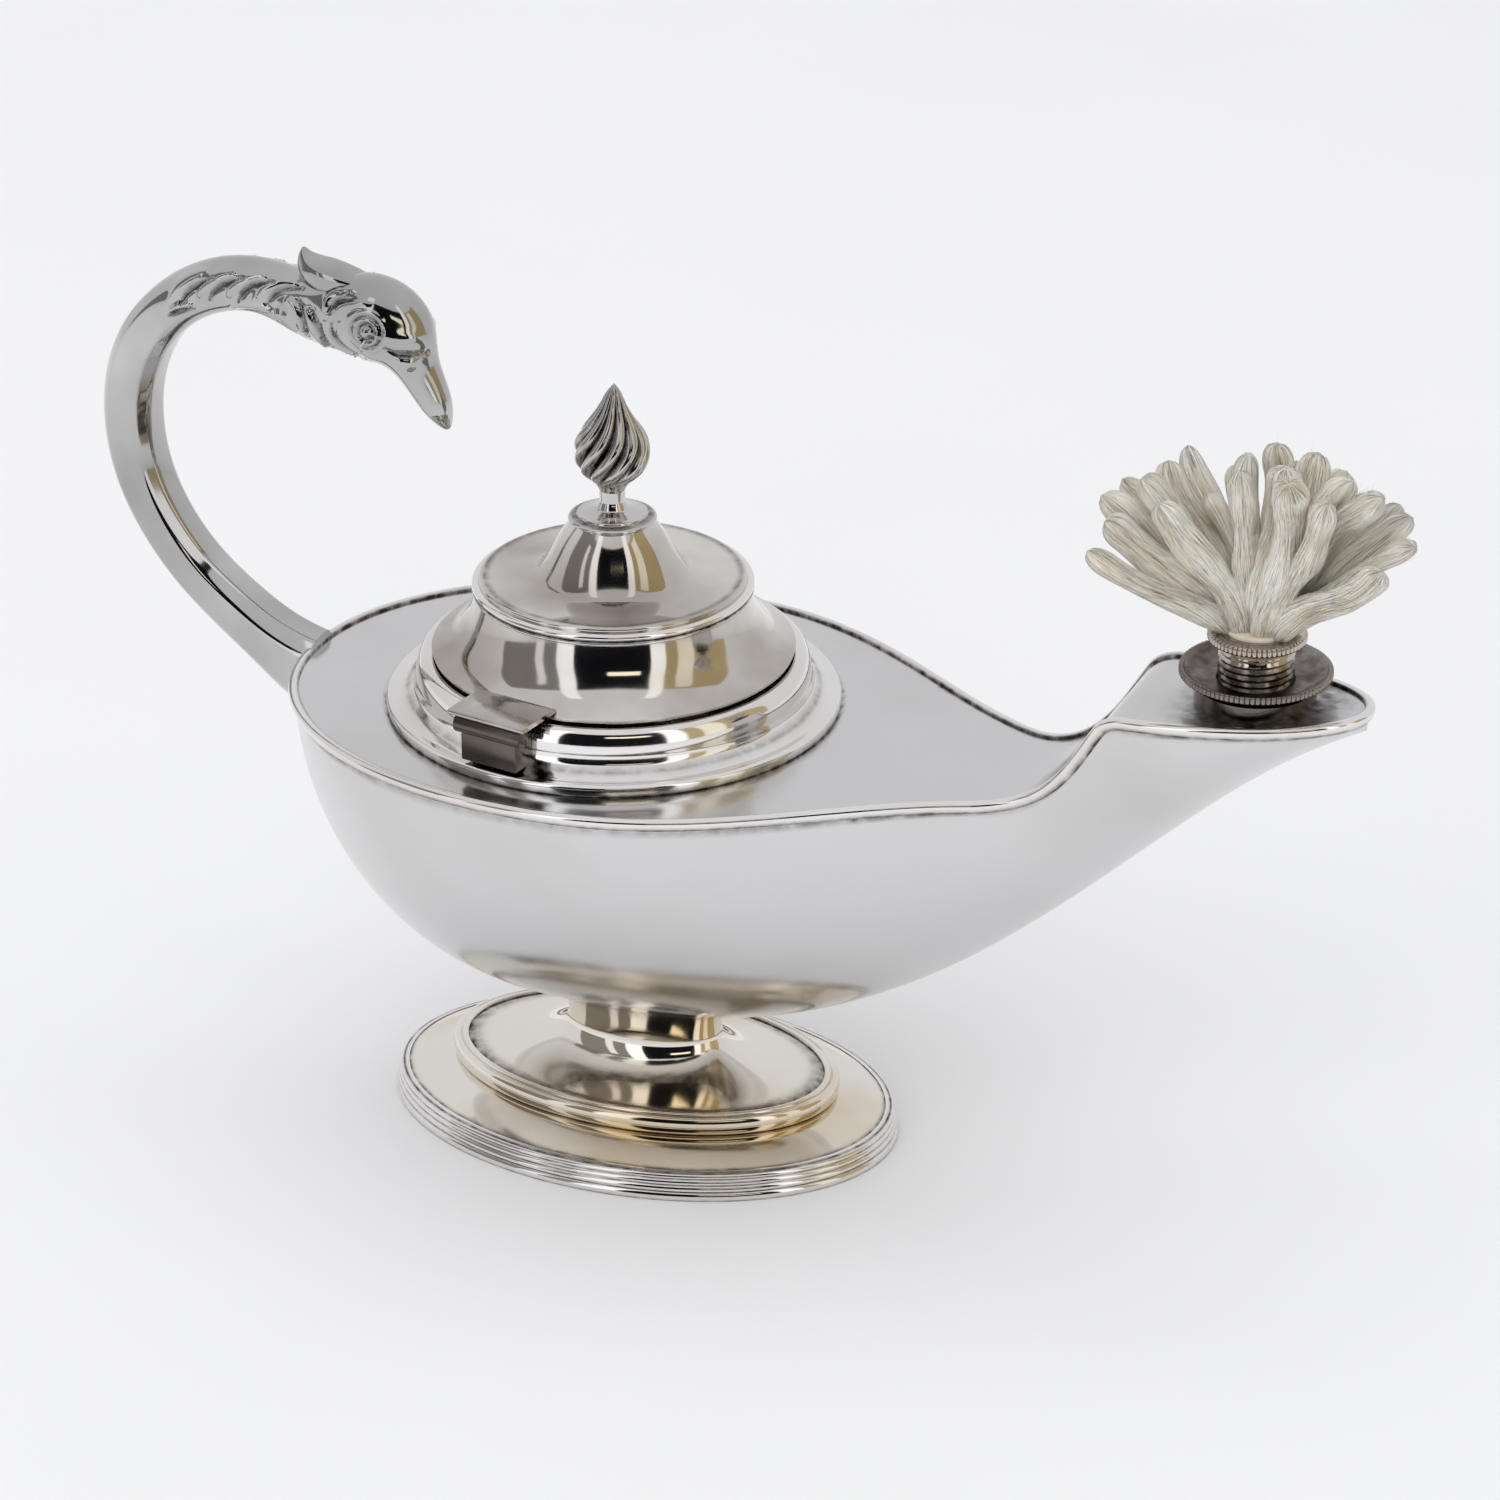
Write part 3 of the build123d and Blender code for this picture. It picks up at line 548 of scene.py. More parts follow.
@dataclass(frozen=True)
class Cotton(Finish):
    """Undyed cotton roving: fibres along the strand, darkened by painted shade towards its folds."""

    pale: tuple[float, float, float]
    deep_and_shade: tuple[float, float, float]

    def build(self) -> bpy.types.Material:
        """Streaks along V of the strand's own map, soft mottling through the tuft, and painted shade from the
        strands' attribute.

        Returns:
            The cotton's material.
        """
        board = Board(self.name)
        streaks = board.noise(1.0, 4.0, (26.0, 2.4, 1.0), "UV")
        mottle = board.noise(210.0, 4.0)
        share = board.span(board.sum(streaks, mottle, "MULTIPLY"), 0.10, 0.29, 1.0, 0.0)
        grime_and_shade = board.add("ShaderNodeAttribute", attribute_name=GRIME_AND_SHADE)
        # Painted shade from the strands' attribute is added to the streaks' share.
        streaks_and_shade = board.sum(share, grime_and_shade.outputs["Fac"])
        board.join(board.blend(streaks_and_shade, self.pale, self.deep_and_shade), board.shader.inputs["Base Color"])
        board.shader.inputs["Roughness"].default_value = 0.95
        board.shader.inputs["Sheen Weight"].default_value = 0.35
        board.shader.inputs["Sheen Roughness"].default_value = 0.6
        fine = board.noise(1.0, 5.0, (60.0, 5.0, 1.0), "UV")
        board.bump([(streaks, 0.0006), (fine, 0.0004)])
        return board.material


SILVER = Metal("silver_polished", "silver_plate", (0.87, 0.85, 0.83), (0.70, 0.63, 0.59),
               (0.06, 0.045, 0.038), Polish.MIRROR, 0.55)
LID_SILVER = Metal("silver_lid", "silver_plate", (0.77, 0.74, 0.70), (0.34, 0.295, 0.255),
                   (0.05, 0.04, 0.035), Polish.MIRROR, 0.9, 0.00012)
SATIN = Metal("silver_satin", "silver_plate", (0.71, 0.705, 0.71), (0.63, 0.61, 0.585),
              (0.07, 0.055, 0.045), Polish.SOFT, 0.6, 0.00012)
WARM_SILVER = Metal("silver_warm", "silver_plate", (0.86, 0.82, 0.75), (0.70, 0.58, 0.41),
                    (0.06, 0.045, 0.03), Polish.MIRROR, 0.9)
CAST_SILVER = Metal("silver_cast", "cast_silver", (0.60, 0.595, 0.59), (0.33, 0.32, 0.315),
                    (0.035, 0.03, 0.03), Polish.MIRROR, 0.85, 0.00009)
FLAME_SILVER = Metal("silver_flame", "cast_silver", (0.66, 0.64, 0.62), (0.38, 0.35, 0.335),
                     (0.04, 0.035, 0.035), Polish.MIRROR, 0.7, 0.00006)
TARNISHED = Metal("silver_tarnished", "tarnished_silver", (0.20, 0.175, 0.155), (0.10, 0.08, 0.07),
                  (0.04, 0.03, 0.025), Polish.WORN, 0.9, 0.00004, 0.000005)
SAUCER_METAL = Metal("silver_saucer", "tarnished_silver", (0.40, 0.365, 0.335), (0.18, 0.145, 0.125),
                     (0.05, 0.035, 0.03), Polish.WORN, 0.9, 0.00005, 0.000004)
NICKEL = Metal("nickel_threaded", "threaded_nickel", (0.74, 0.68, 0.63), (0.46, 0.39, 0.33),
               (0.05, 0.035, 0.03), Polish.MIRROR, 0.7, 0.00002)
BRASS = Metal("brass_bare", "bare_brass", (0.80, 0.62, 0.30), (0.60, 0.42, 0.18),
              (0.07, 0.05, 0.02), Polish.WORN, 0.7, 0.00003)
ROVING = Cotton("cotton_roving", "cotton_wick", (0.99, 0.95, 0.85), (0.80, 0.70, 0.52))


# ---- the bowl's lines ---------------------------------------------------------------------
def bezier(points: Sequence[tuple[float, float]], t: Array) -> Array:
    """Bezier curve, by taking shares between neighbouring points until one is left.

    Args:
        points: Its control points.
        t: Places along it, from 0 to 1.

    Returns:
        One row for each place.
    """
    rows = [np.array(p, float)[None] for p in points]
    while len(rows) > 1:
        rows = [a + (b - a) * t[:, None] for a, b in zip(rows[:-1], rows[1:])]
    return rows[0]


@dataclass
class BowlLines:
    """The bowl's rim in plan and its keel and deck in side view."""

    rear_x: float = -54.7
    tip_x: float = 113.9
    widest_x: float = -4.2
    rim_width: float = 40.7
    rear_power: float = 2.05
    neck_x: float = 69.0
    neck_width: float = 11.1
    neck_power: float = 1.19
    platform_x: float = 85.7
    platform_width: float = 12.5
    keel_z: float = 19.4
    keel_x: float = -8.0
    keel_power: float = 2.2
    keel_shape: tuple[float, float] = (-0.11, 3.46)
    keel_tip_z: float = 86.0
    deck_z: float = 69.3
    rise: tuple = ((57.0, 69.3), (69.5, 69.3), (72.6, 77.5), (77.0, 84.4))
    turn: tuple = ((77.0, 84.4), (78.3, 86.45), (81.5, 86.7))
    tip_deck_z: float = 88.9
    section_power: float = 1.75

    def half_width(self, x: Array) -> Array:
        """Rim half-width: a blunt oval behind, a cosine sweep to the neck, a leaf-shaped tip.

        Args:
            x: Places along the lamp.

        Returns:
            Half the rim's width at each.
        """
        u = np.clip((self.widest_x - x) / (self.widest_x - self.rear_x), 0, 1)
        rear = self.rim_width * (1 - u**self.rear_power) ** (1 / self.rear_power)
        u = np.clip((x - self.widest_x) / (self.neck_x - self.widest_x), 0, 1)
        sweep = (1 + np.cos(math.pi * u**self.neck_power)) / 2
        shoulder = self.neck_width + (self.rim_width - self.neck_width) * sweep
        u = np.clip((x - self.neck_x) / (self.platform_x - self.neck_x), 0, 1)
        sweep = (1 - np.cos(math.pi * u)) / 2
        neck = self.neck_width + (self.platform_width - self.neck_width) * sweep
        u = np.clip((x - self.platform_x) / (self.tip_x - self.platform_x), 0, 1)
        tip = self.platform_width * np.sqrt(1 - u * u)
        where = [x <= self.widest_x, x <= self.neck_x, x <= self.platform_x]
        return np.select(where, [rear, shoulder, neck], tip)

    def deck_height(self, x: Array) -> Array:
        """Level over the bowl, then two Bezier curves up to the gently climbing platform.

        Args:
            x: Places along the lamp.

        Returns:
            The deck's height at each.
        """
        t = np.linspace(0, 1, 240)
        curve = np.concatenate([bezier(self.rise, t), bezier(self.turn, t)[1:]])
        line = np.array([[self.tip_x, self.tip_deck_z]])
        table = np.concatenate([curve, line])
        return np.interp(x, table[:, 0], table[:, 1])

    def keel_height(self, x: Array) -> Array:
        """Quarter oval behind the stem, and a fourth-power sweep from there to the tip.

        Args:
            x: Places along the lamp.

        Returns:
            The keel's height at each.
        """
        u = np.clip((self.keel_x - x) / (self.keel_x - self.rear_x), 0, 1)
        rear = self.deck_z - (self.deck_z - self.keel_z) * (1 - u**self.keel_power) ** (1 / self.keel_power)
        u = np.clip((x - self.keel_x) / (self.tip_x - self.keel_x), 0, 1)
        square, cube = self.keel_shape
        sweep = square * u**2 + cube * u**3 + (1 - square - cube) * u**4
        front = self.keel_z + (self.keel_tip_z - self.keel_z) * sweep
        return np.where(x <= self.keel_x, rear, front)

    def outside(self, x: Array, y: Array) -> Array:
        """Height of the bowl's outer surface under a point: top - depth (1-(|y|/w)^n)^(1/n).

        Args:
            x: Places along the lamp.
            y: Places across it.

        Returns:
            The surface's height at each.
        """
        share = np.clip(np.abs(y) / np.maximum(self.half_width(x), 1e-6), 0, 1)
        depth = self.deck_height(x) - self.keel_height(x)
        return self.deck_height(x) - depth * (1 - share**self.section_power) ** (1 / self.section_power)

    def rim_path(self, count: int) -> Array:
        """Closed path round the rim: x = middle - half cos a, y = the half-width, near side first.

        Args:
            count: Number of points.

        Returns:
            The (x, y, z) points.
        """
        angle = np.linspace(0, 2 * math.pi, count, endpoint=False)
        middle, half = (self.rear_x + self.tip_x) / 2, (self.tip_x - self.rear_x) / 2
        x = middle - half * np.cos(angle)
        y = -np.sign(np.sin(angle)) * self.half_width(x)
        y = np.where(np.abs(np.sin(angle)) < 1e-9, 0.0, y)
        return np.stack([x, y, self.deck_height(x)], -1)


LINES = BowlLines()


# ---- foot ---------------------------------------------------------------------------------
@dataclass
class Foot:
    """Oval foot: a reeded edge, a hollow tread, and the tier, dome and stem above it."""

    length: float = 40.0
    width: float = 27.8
    rim_height: float = 4.3
    reeds: int = 4
    reed_bulge: float = 0.35
    wire: float = 1.1
    sheet: float = 1.1
    tier_length: float = 31.6
    tier_width: float = 20.3
    tier_low: float = 6.5
    tier_high: float = 9.5
    stem_length: float = 12.6
    stem_width: float = 7.6
    waist_z: float = 15.6

    def reeded_rim(self) -> None:
        """Reeds as half sine waves on a wall that spreads towards the table."""
        u = np.linspace(0, 1, 56)
        reed = np.abs(np.sin(math.pi * u**1.25 * self.reeds)) ** 0.6
        spread = self.reed_bulge * (self.reeds - 1) * (1 - u) ** 0.8
        reach = spread + self.reed_bulge * (reed - 1)
        outer = np.stack([self.length + reach, self.width + reach, u * self.rim_height], -1)
        top = outer[-1] + np.array([[-0.35, -0.35, 0.12], [-0.8, -0.8, 0.1]])
        inner = [[self.length - self.wire, self.width - self.wire, z] for z in (self.rim_height, 0.0)]
        rings = np.concatenate([outer, top, inner])
        grime_and_shade = np.zeros(len(rings))
        grime_and_shade[: len(u)] = 0.95 * bell(reed, 0.42)
        mesh = mesh_of("foot_reeds", [oval_shell(rings, grime_and_shade=grime_and_shade)])
        add_piece("foot_reeds", mesh, SILVER, "root", ["foot_reeded_rim"], 60)

    def tread(self) -> None:
        """Top of the foot: ovals that shrink evenly while the height rises as 1-(1-u)^1.6."""
        u = np.linspace(0, 1, 28)
        length = self.length - self.wire + (self.tier_length - self.length) * u
        width = self.width - self.wire + (self.tier_width - self.width) * u
        height = self.rim_height + (self.tier_low - self.rim_height) * (1 - (1 - u) ** 1.6)
        outer = np.stack([length, width, height], -1)
        seat = np.array([[self.stem_length, self.stem_width, self.tier_low]])
        inner = (outer - self.sheet)[::-1]
        low_edge = np.array([[inner[-1, 0], inner[-1, 1], 0.3], [outer[0, 0], outer[0, 1], 0.3]])
        rings = np.concatenate([outer, seat, seat - [0, 0, self.sheet], inner, low_edge])
        grime_and_shade = np.zeros(len(rings))
        grime_and_shade[: len(u)] = bell(u, 0.05) + 0.8 * bell(1 - u, 0.04)
        mesh = mesh_of("foot_tread", [oval_shell(rings, grime_and_shade=grime_and_shade)])
        add_piece("foot_tread", mesh, WARM_SILVER, "root", ["foot_base"])

    def pedestal(self) -> None:
        """Rolled tier, hollow dome, stem, and the flare that follows the bowl's underside."""
        turn = np.linspace(0, math.pi, 15)
        middle, radius = (self.tier_low + self.tier_high) / 2, (self.tier_high - self.tier_low) / 2
        roll = np.stack([
            self.tier_length - 1.0 + 1.0 * np.sin(turn) ** 0.7,
            self.tier_width - 1.0 + 1.0 * np.sin(turn) ** 0.7,
            middle - radius * np.cos(turn),
        ], -1)
        bead = np.stack([
            self.tier_length - 1.9 + 0.55 * np.cos(turn[::-1]),
            self.tier_width - 1.9 + 0.55 * np.cos(turn[::-1]),
            self.tier_high - 0.25 + 0.5 * np.sin(turn),
        ], -1)[::-1]
        angle = np.linspace(0.06, math.pi / 2, 44)
        share = np.sin(angle) ** 0.9
        length = self.tier_length - 2.2 + (self.stem_length - self.tier_length + 2.2) * share
        width = self.tier_width - 2.2 + (self.stem_width - self.tier_width + 2.2) * share
        climb = (self.waist_z - self.tier_high) * (1 - np.cos(angle))
        dome = np.stack([length, width, self.tier_high + climb], -1)
        flare_u = np.linspace(0, 1, 16)[1:]
        flare = np.stack([
            self.stem_length + 2.0 * flare_u**2.4, self.stem_width + 1.6 * flare_u**2.4,
            self.waist_z + (LINES.keel_z - self.waist_z) * flare_u,
        ], -1)
        inner = np.concatenate([dome, flare])[::-1] - [self.sheet, self.sheet, self.sheet * 0.8]
        rings = np.concatenate([roll, bead, dome, flare, inner])
        grime_and_shade = np.concatenate([
            0.5 * bell(turn, 0.5), 0.9 * bell(turn[::-1], 0.5), 0.5 * bell(angle - 0.06, 0.06),
            0.7 * bell(1 - flare_u, 0.3), np.full(len(inner), 0.5),
        ])
        shell = oval_shell(rings, grime_and_shade=grime_and_shade)
        first = len(rings) - len(inner) - len(flare)
        top = shell.points[first : first + len(flare)]
        seat = LINES.outside(top[-1, :, 0], top[-1, :, 1]) + 0.35
        top[..., 2] = self.waist_z + (seat[None] - self.waist_z) * flare_u[:, None]
        shell.points[first + len(flare) : first + 2 * len(flare), :, 2] = top[::-1, :, 2] - 0.8 * self.sheet
        mesh = mesh_of("foot_dome", [shell])
        add_piece("foot_dome", mesh, WARM_SILVER, "root", ["foot_pedestal"])

    def build(self) -> None:
        """Builds the foot's three pieces."""
        self.tread()
        self.reeded_rim()
        self.pedestal()


def turn_outwards(piece: bpy.types.Object) -> None:
    """Turns an open surface's faces so that most of them look away from its middle line.

    Args:
        piece: The open surface.
    """
    mesh = piece.data
    count = len(mesh.polygons)
    centres, normals = np.zeros(count * 3, np.float32), np.zeros(count * 3, np.float32)
    mesh.polygons.foreach_get("center", centres)
    mesh.polygons.foreach_get("normal", normals)
    centres, normals = centres.reshape(-1, 3), normals.reshape(-1, 3)
    outwards = (centres - centres.mean(0)) * normals
    if outwards.sum() < 0:
        mesh.flip_normals()


def thicken(piece: bpy.types.Object, thickness: float) -> None:
    """Gives an open surface its sheet thickness, in millimetres, on the inner side.

    Args:
        piece: The open surface.
        thickness: The sheet's thickness.
    """
    solid = piece.modifiers.new("sheet", "SOLIDIFY")
    solid.thickness = thickness * MM
    solid.offset = -1.0
    solid.use_even_offset = False


# ---- bowl and deck ------------------------------------------------------------------------
@dataclass
class Bowl:
    """Raised bowl with its spout, the deck on it, the rim wire and the filler's collar."""

    sheet: float = 1.2
    deck_sheet: float = 1.0
    wire_out: float = 0.9
    wire_in: float = 0.7
    wire_up: float = 0.7
    wire_down: float = 1.3
    mouth: float = 26.0
    sleeve: float = 7.0
    flange: float = 34.5
    flange_height: float = 2.4
    bulge: float = 30.0
    lip: float = 28.3
    lip_z: float = 77.6
    lid_x: float = field(default_factory=lambda: axis_x("filler_collar"))
    burner_x: float = field(default_factory=lambda: axis_x("burner_cap"))

    def hull(self) -> None:
        """Sections y = w cos^(2/n), z = top - d sin^(2/n), outer wall down and inner wall back."""
        count = 300
        turn = math.pi * np.arange(count + 1) / count
        x = (LINES.rear_x + LINES.tip_x) / 2 - (LINES.tip_x - LINES.rear_x) / 2 * np.cos(turn)
        power = 2 / LINES.section_power
        top, keel = LINES.deck_height(x), LINES.keel_height(x)
        depth = np.maximum(top - keel, 1e-4)
        start = np.arcsin(np.clip(0.6 / depth, 0, 1) ** (1 / power))
        walls = []
        for inset in (0.0, self.sheet):
            across = np.linspace(0, 1, 97)[None]
            angle = start[:, None] + (math.pi - 2 * start[:, None]) * across
            width = np.maximum(LINES.half_width(x) - inset, 0)[:, None]
            drop = np.maximum(depth - inset, 0)[:, None]
            y = width * np.sign(np.cos(angle)) * np.abs(np.cos(angle)) ** power
            z = top[:, None] - drop * np.sin(angle) ** power
            walls.append(np.stack([np.repeat(x[:, None], 97, 1), y, z], -1))
        points = np.concatenate([walls[0], walls[1][:, ::-1]], 1)
        below = top[:, None] - points[..., 2]
        stem = np.hypot(points[..., 0] / 17.0, points[..., 1] / 11.5)
        # Painted shade: the first term darkens the band just below the rim wire as the wire's shadow on the
        # hull, together with tarnish in that seam; the second darkens the ring round the foot's seat.
        grime_and_shade = 0.8 * bell(below - 1.4, 0.35) + 0.7 * bell(np.maximum(stem - 0.88, 0), 0.09)
        grime_and_shade[:, 97:] = 0.35
        mesh = mesh_of("bowl_body", [Shell(points, False, True, np.clip(grime_and_shade, 0, 1))])
        add_piece("bowl_body", mesh, SATIN, "root", ["hull_bowl"])

    def deck(self) -> None:
        """Deck in three matched patches: round the mouth, along the rise, and round the burner.

        A patch round a hole goes straight from the hole's circle to its outer edge, and the
        patches share the points of the two lines across the deck.
        """
        split, edge = 40.0, 82.0
        across = np.linspace(-1, 1, 49)
        ring = LINES.rim_path(720)[:, :2]
        rear = ring[ring[:, 0] < split - 0.2]
        near, far = rear[rear[:, 1] <= 0], rear[rear[:, 1] > 0]
        line = np.stack([np.full(49, split), across * LINES.half_width(np.array(split))], -1)
        rear_edge = np.concatenate([far, near, line])
        front = ring[ring[:, 0] > edge + 0.1]
        line = np.stack([np.full(49, edge), -across * LINES.half_width(np.array(edge))], -1)
        front_edge = np.concatenate([front, line])
        shells = []
        holes = ((rear_edge, self.lid_x, self.mouth), (front_edge, self.burner_x, self.sleeve))
        for outline, centre, radius in holes:
            angle = np.arctan2(outline[:, 1], outline[:, 0] - centre)
            hole = np.stack([centre + radius * np.cos(angle), radius * np.sin(angle)], -1)
            share = np.linspace(0, 1, 40)[:, None, None]
            flat = hole[None] + (outline - hole)[None] * share
            shells.append(self.deck_shell(flat, True))
        x = np.linspace(split, edge, 150)
        flat = np.stack([np.repeat(x[:, None], 49, 1), LINES.half_width(x)[:, None] * across], -1)
        shells.append(self.deck_shell(flat, False))
        mesh = mesh_of("deck_skin", shells, closed=False)
        piece = add_piece("deck_skin", self.faced_up(mesh), SATIN, "root", ["deck_plate"])
        thicken(piece, self.deck_sheet)

    def deck_shell(self, flat: Array, wrap: bool) -> Shell:
        """Patch of the deck from its plan, lifted to the deck line, darker at its seams and over the platform
        round the burner's seat.

        Args:
            flat: The patch's (x, y) grid.
            wrap: True if it closes round a hole.

        Returns:
            The lifted patch.
        """
        x, y = flat[..., 0], flat[..., 1]
        points = np.stack([x, y, LINES.deck_height(x)], -1)
        edge = LINES.half_width(x) - np.abs(y)
        flange = np.hypot(x - self.lid_x, y) - self.flange
        seat = np.hypot(x - self.burner_x, y) - 9.0
        grime_and_shade = 0.75 * bell(np.maximum(edge - self.wire_in, 0), 0.35) + 0.7 * bell(flange, 0.35)
        # Darker over the platform round the burner's seat, fading out past the saucer's rim.
        grime_and_shade = grime_and_shade + 0.75 * bell(np.maximum(seat, 0), 5.0) * smooth_step(x, 82.0, 92.0)
        return Shell(points, False, wrap, np.clip(grime_and_shade, 0, 1))

    @staticmethod
    def faced_up(mesh: bpy.types.Mesh) -> bpy.types.Mesh:
        """The mesh with every face turned to look upwards.

        Args:
            mesh: The deck's mesh.

        Returns:
            The same mesh.
        """
        work = bmesh.new()
        work.from_mesh(mesh)
        work.normal_update()
        bmesh.ops.reverse_faces(work, faces=[f for f in work.faces if f.normal.z < 0])
        work.to_mesh(mesh)
        work.free()
        return mesh

    def rim_wire(self) -> None:
        """Rounded wire carried round the rim, across the path's own side and up directions."""
        path = LINES.rim_path(900)
        ahead = np.roll(path, -1, 0) - np.roll(path, 1, 0)
        ahead /= np.linalg.norm(ahead, axis=1, keepdims=True)
        side = np.cross(ahead, [0, 0, 1.0])
        side /= np.linalg.norm(side, axis=1, keepdims=True)
        up = np.cross(side, ahead)
        profile = rounded([
            (-self.wire_in, -0.05), (-self.wire_in + 0.1, self.wire_up * 0.62), (0.05, self.wire_up),
            (self.wire_out, self.wire_up * 0.45), (self.wire_out, -0.5),
            (0.45, -self.wire_down), (-0.3, -self.wire_down),
        ], 0.4)
        points = path[:, None] + side[:, None] * profile[:, :1] + up[:, None] * profile[:, 1:]
        # Painted shade: the wire's underside is darkened as its shadow line against the hull, together with
        # tarnish; the darkening at its inner edge by the deck is tarnish in the seam.
        low = bell(profile[:, 1] + self.wire_down, 0.55) + bell(profile[:, 0] + self.wire_in, 0.3)
        grime_and_shade = np.repeat(0.9 * np.clip(low, 0, 1)[None], len(path), 0)
        mesh = mesh_of("rim_wire", [Shell(points, True, True, grime_and_shade)])
        add_piece("rim_wire", mesh, SILVER, "root", ["deck_rim_wire"], 60)

    def collar(self) -> None:
        """Turned collar: a flat flange, a cove, a full bulge and a narrow lip."""
        base, top = LINES.deck_z, LINES.deck_z + self.flange_height
        turn = np.linspace(0, math.pi / 2, 12)
        swell = self.bulge - self.lip
        bulge = [
            (self.lip + swell * math.cos(a), top + 2.0 + (self.lip_z - top - 2.0) * math.sin(a))
            for a in turn
        ]
        start = [
            (self.mouth, base), (self.flange, base), (self.flange, top - 1.0), (self.flange - 0.5, top - 0.6),
            (self.flange - 1.8, top - 0.65), (self.bulge + 1.5, top - 0.1), (self.bulge + 0.25, top + 0.9),
        ]
        profile = rounded(start + bulge + [(self.mouth, self.lip_z)], 0.35)
        seam = bell(profile[:, 0] - self.bulge - 1.1, 0.5) * (profile[:, 1] < top + 0.8)
        foot = bell(profile[:, 0] - self.flange, 0.2) * bell(profile[:, 1] - base, 0.5)
        ring = revolved(profile, self.lid_x, 320, True, 0.45 * seam + 0.9 * foot)
        mesh = mesh_of("filler_collar_ring", [ring])
        add_piece("filler_collar_ring", mesh, SILVER, "root", ["filler_collar"])

    def build(self) -> None:
        """Builds the bowl's pieces."""
        self.hull()
        self.deck()
        self.rim_wire()
        self.collar()


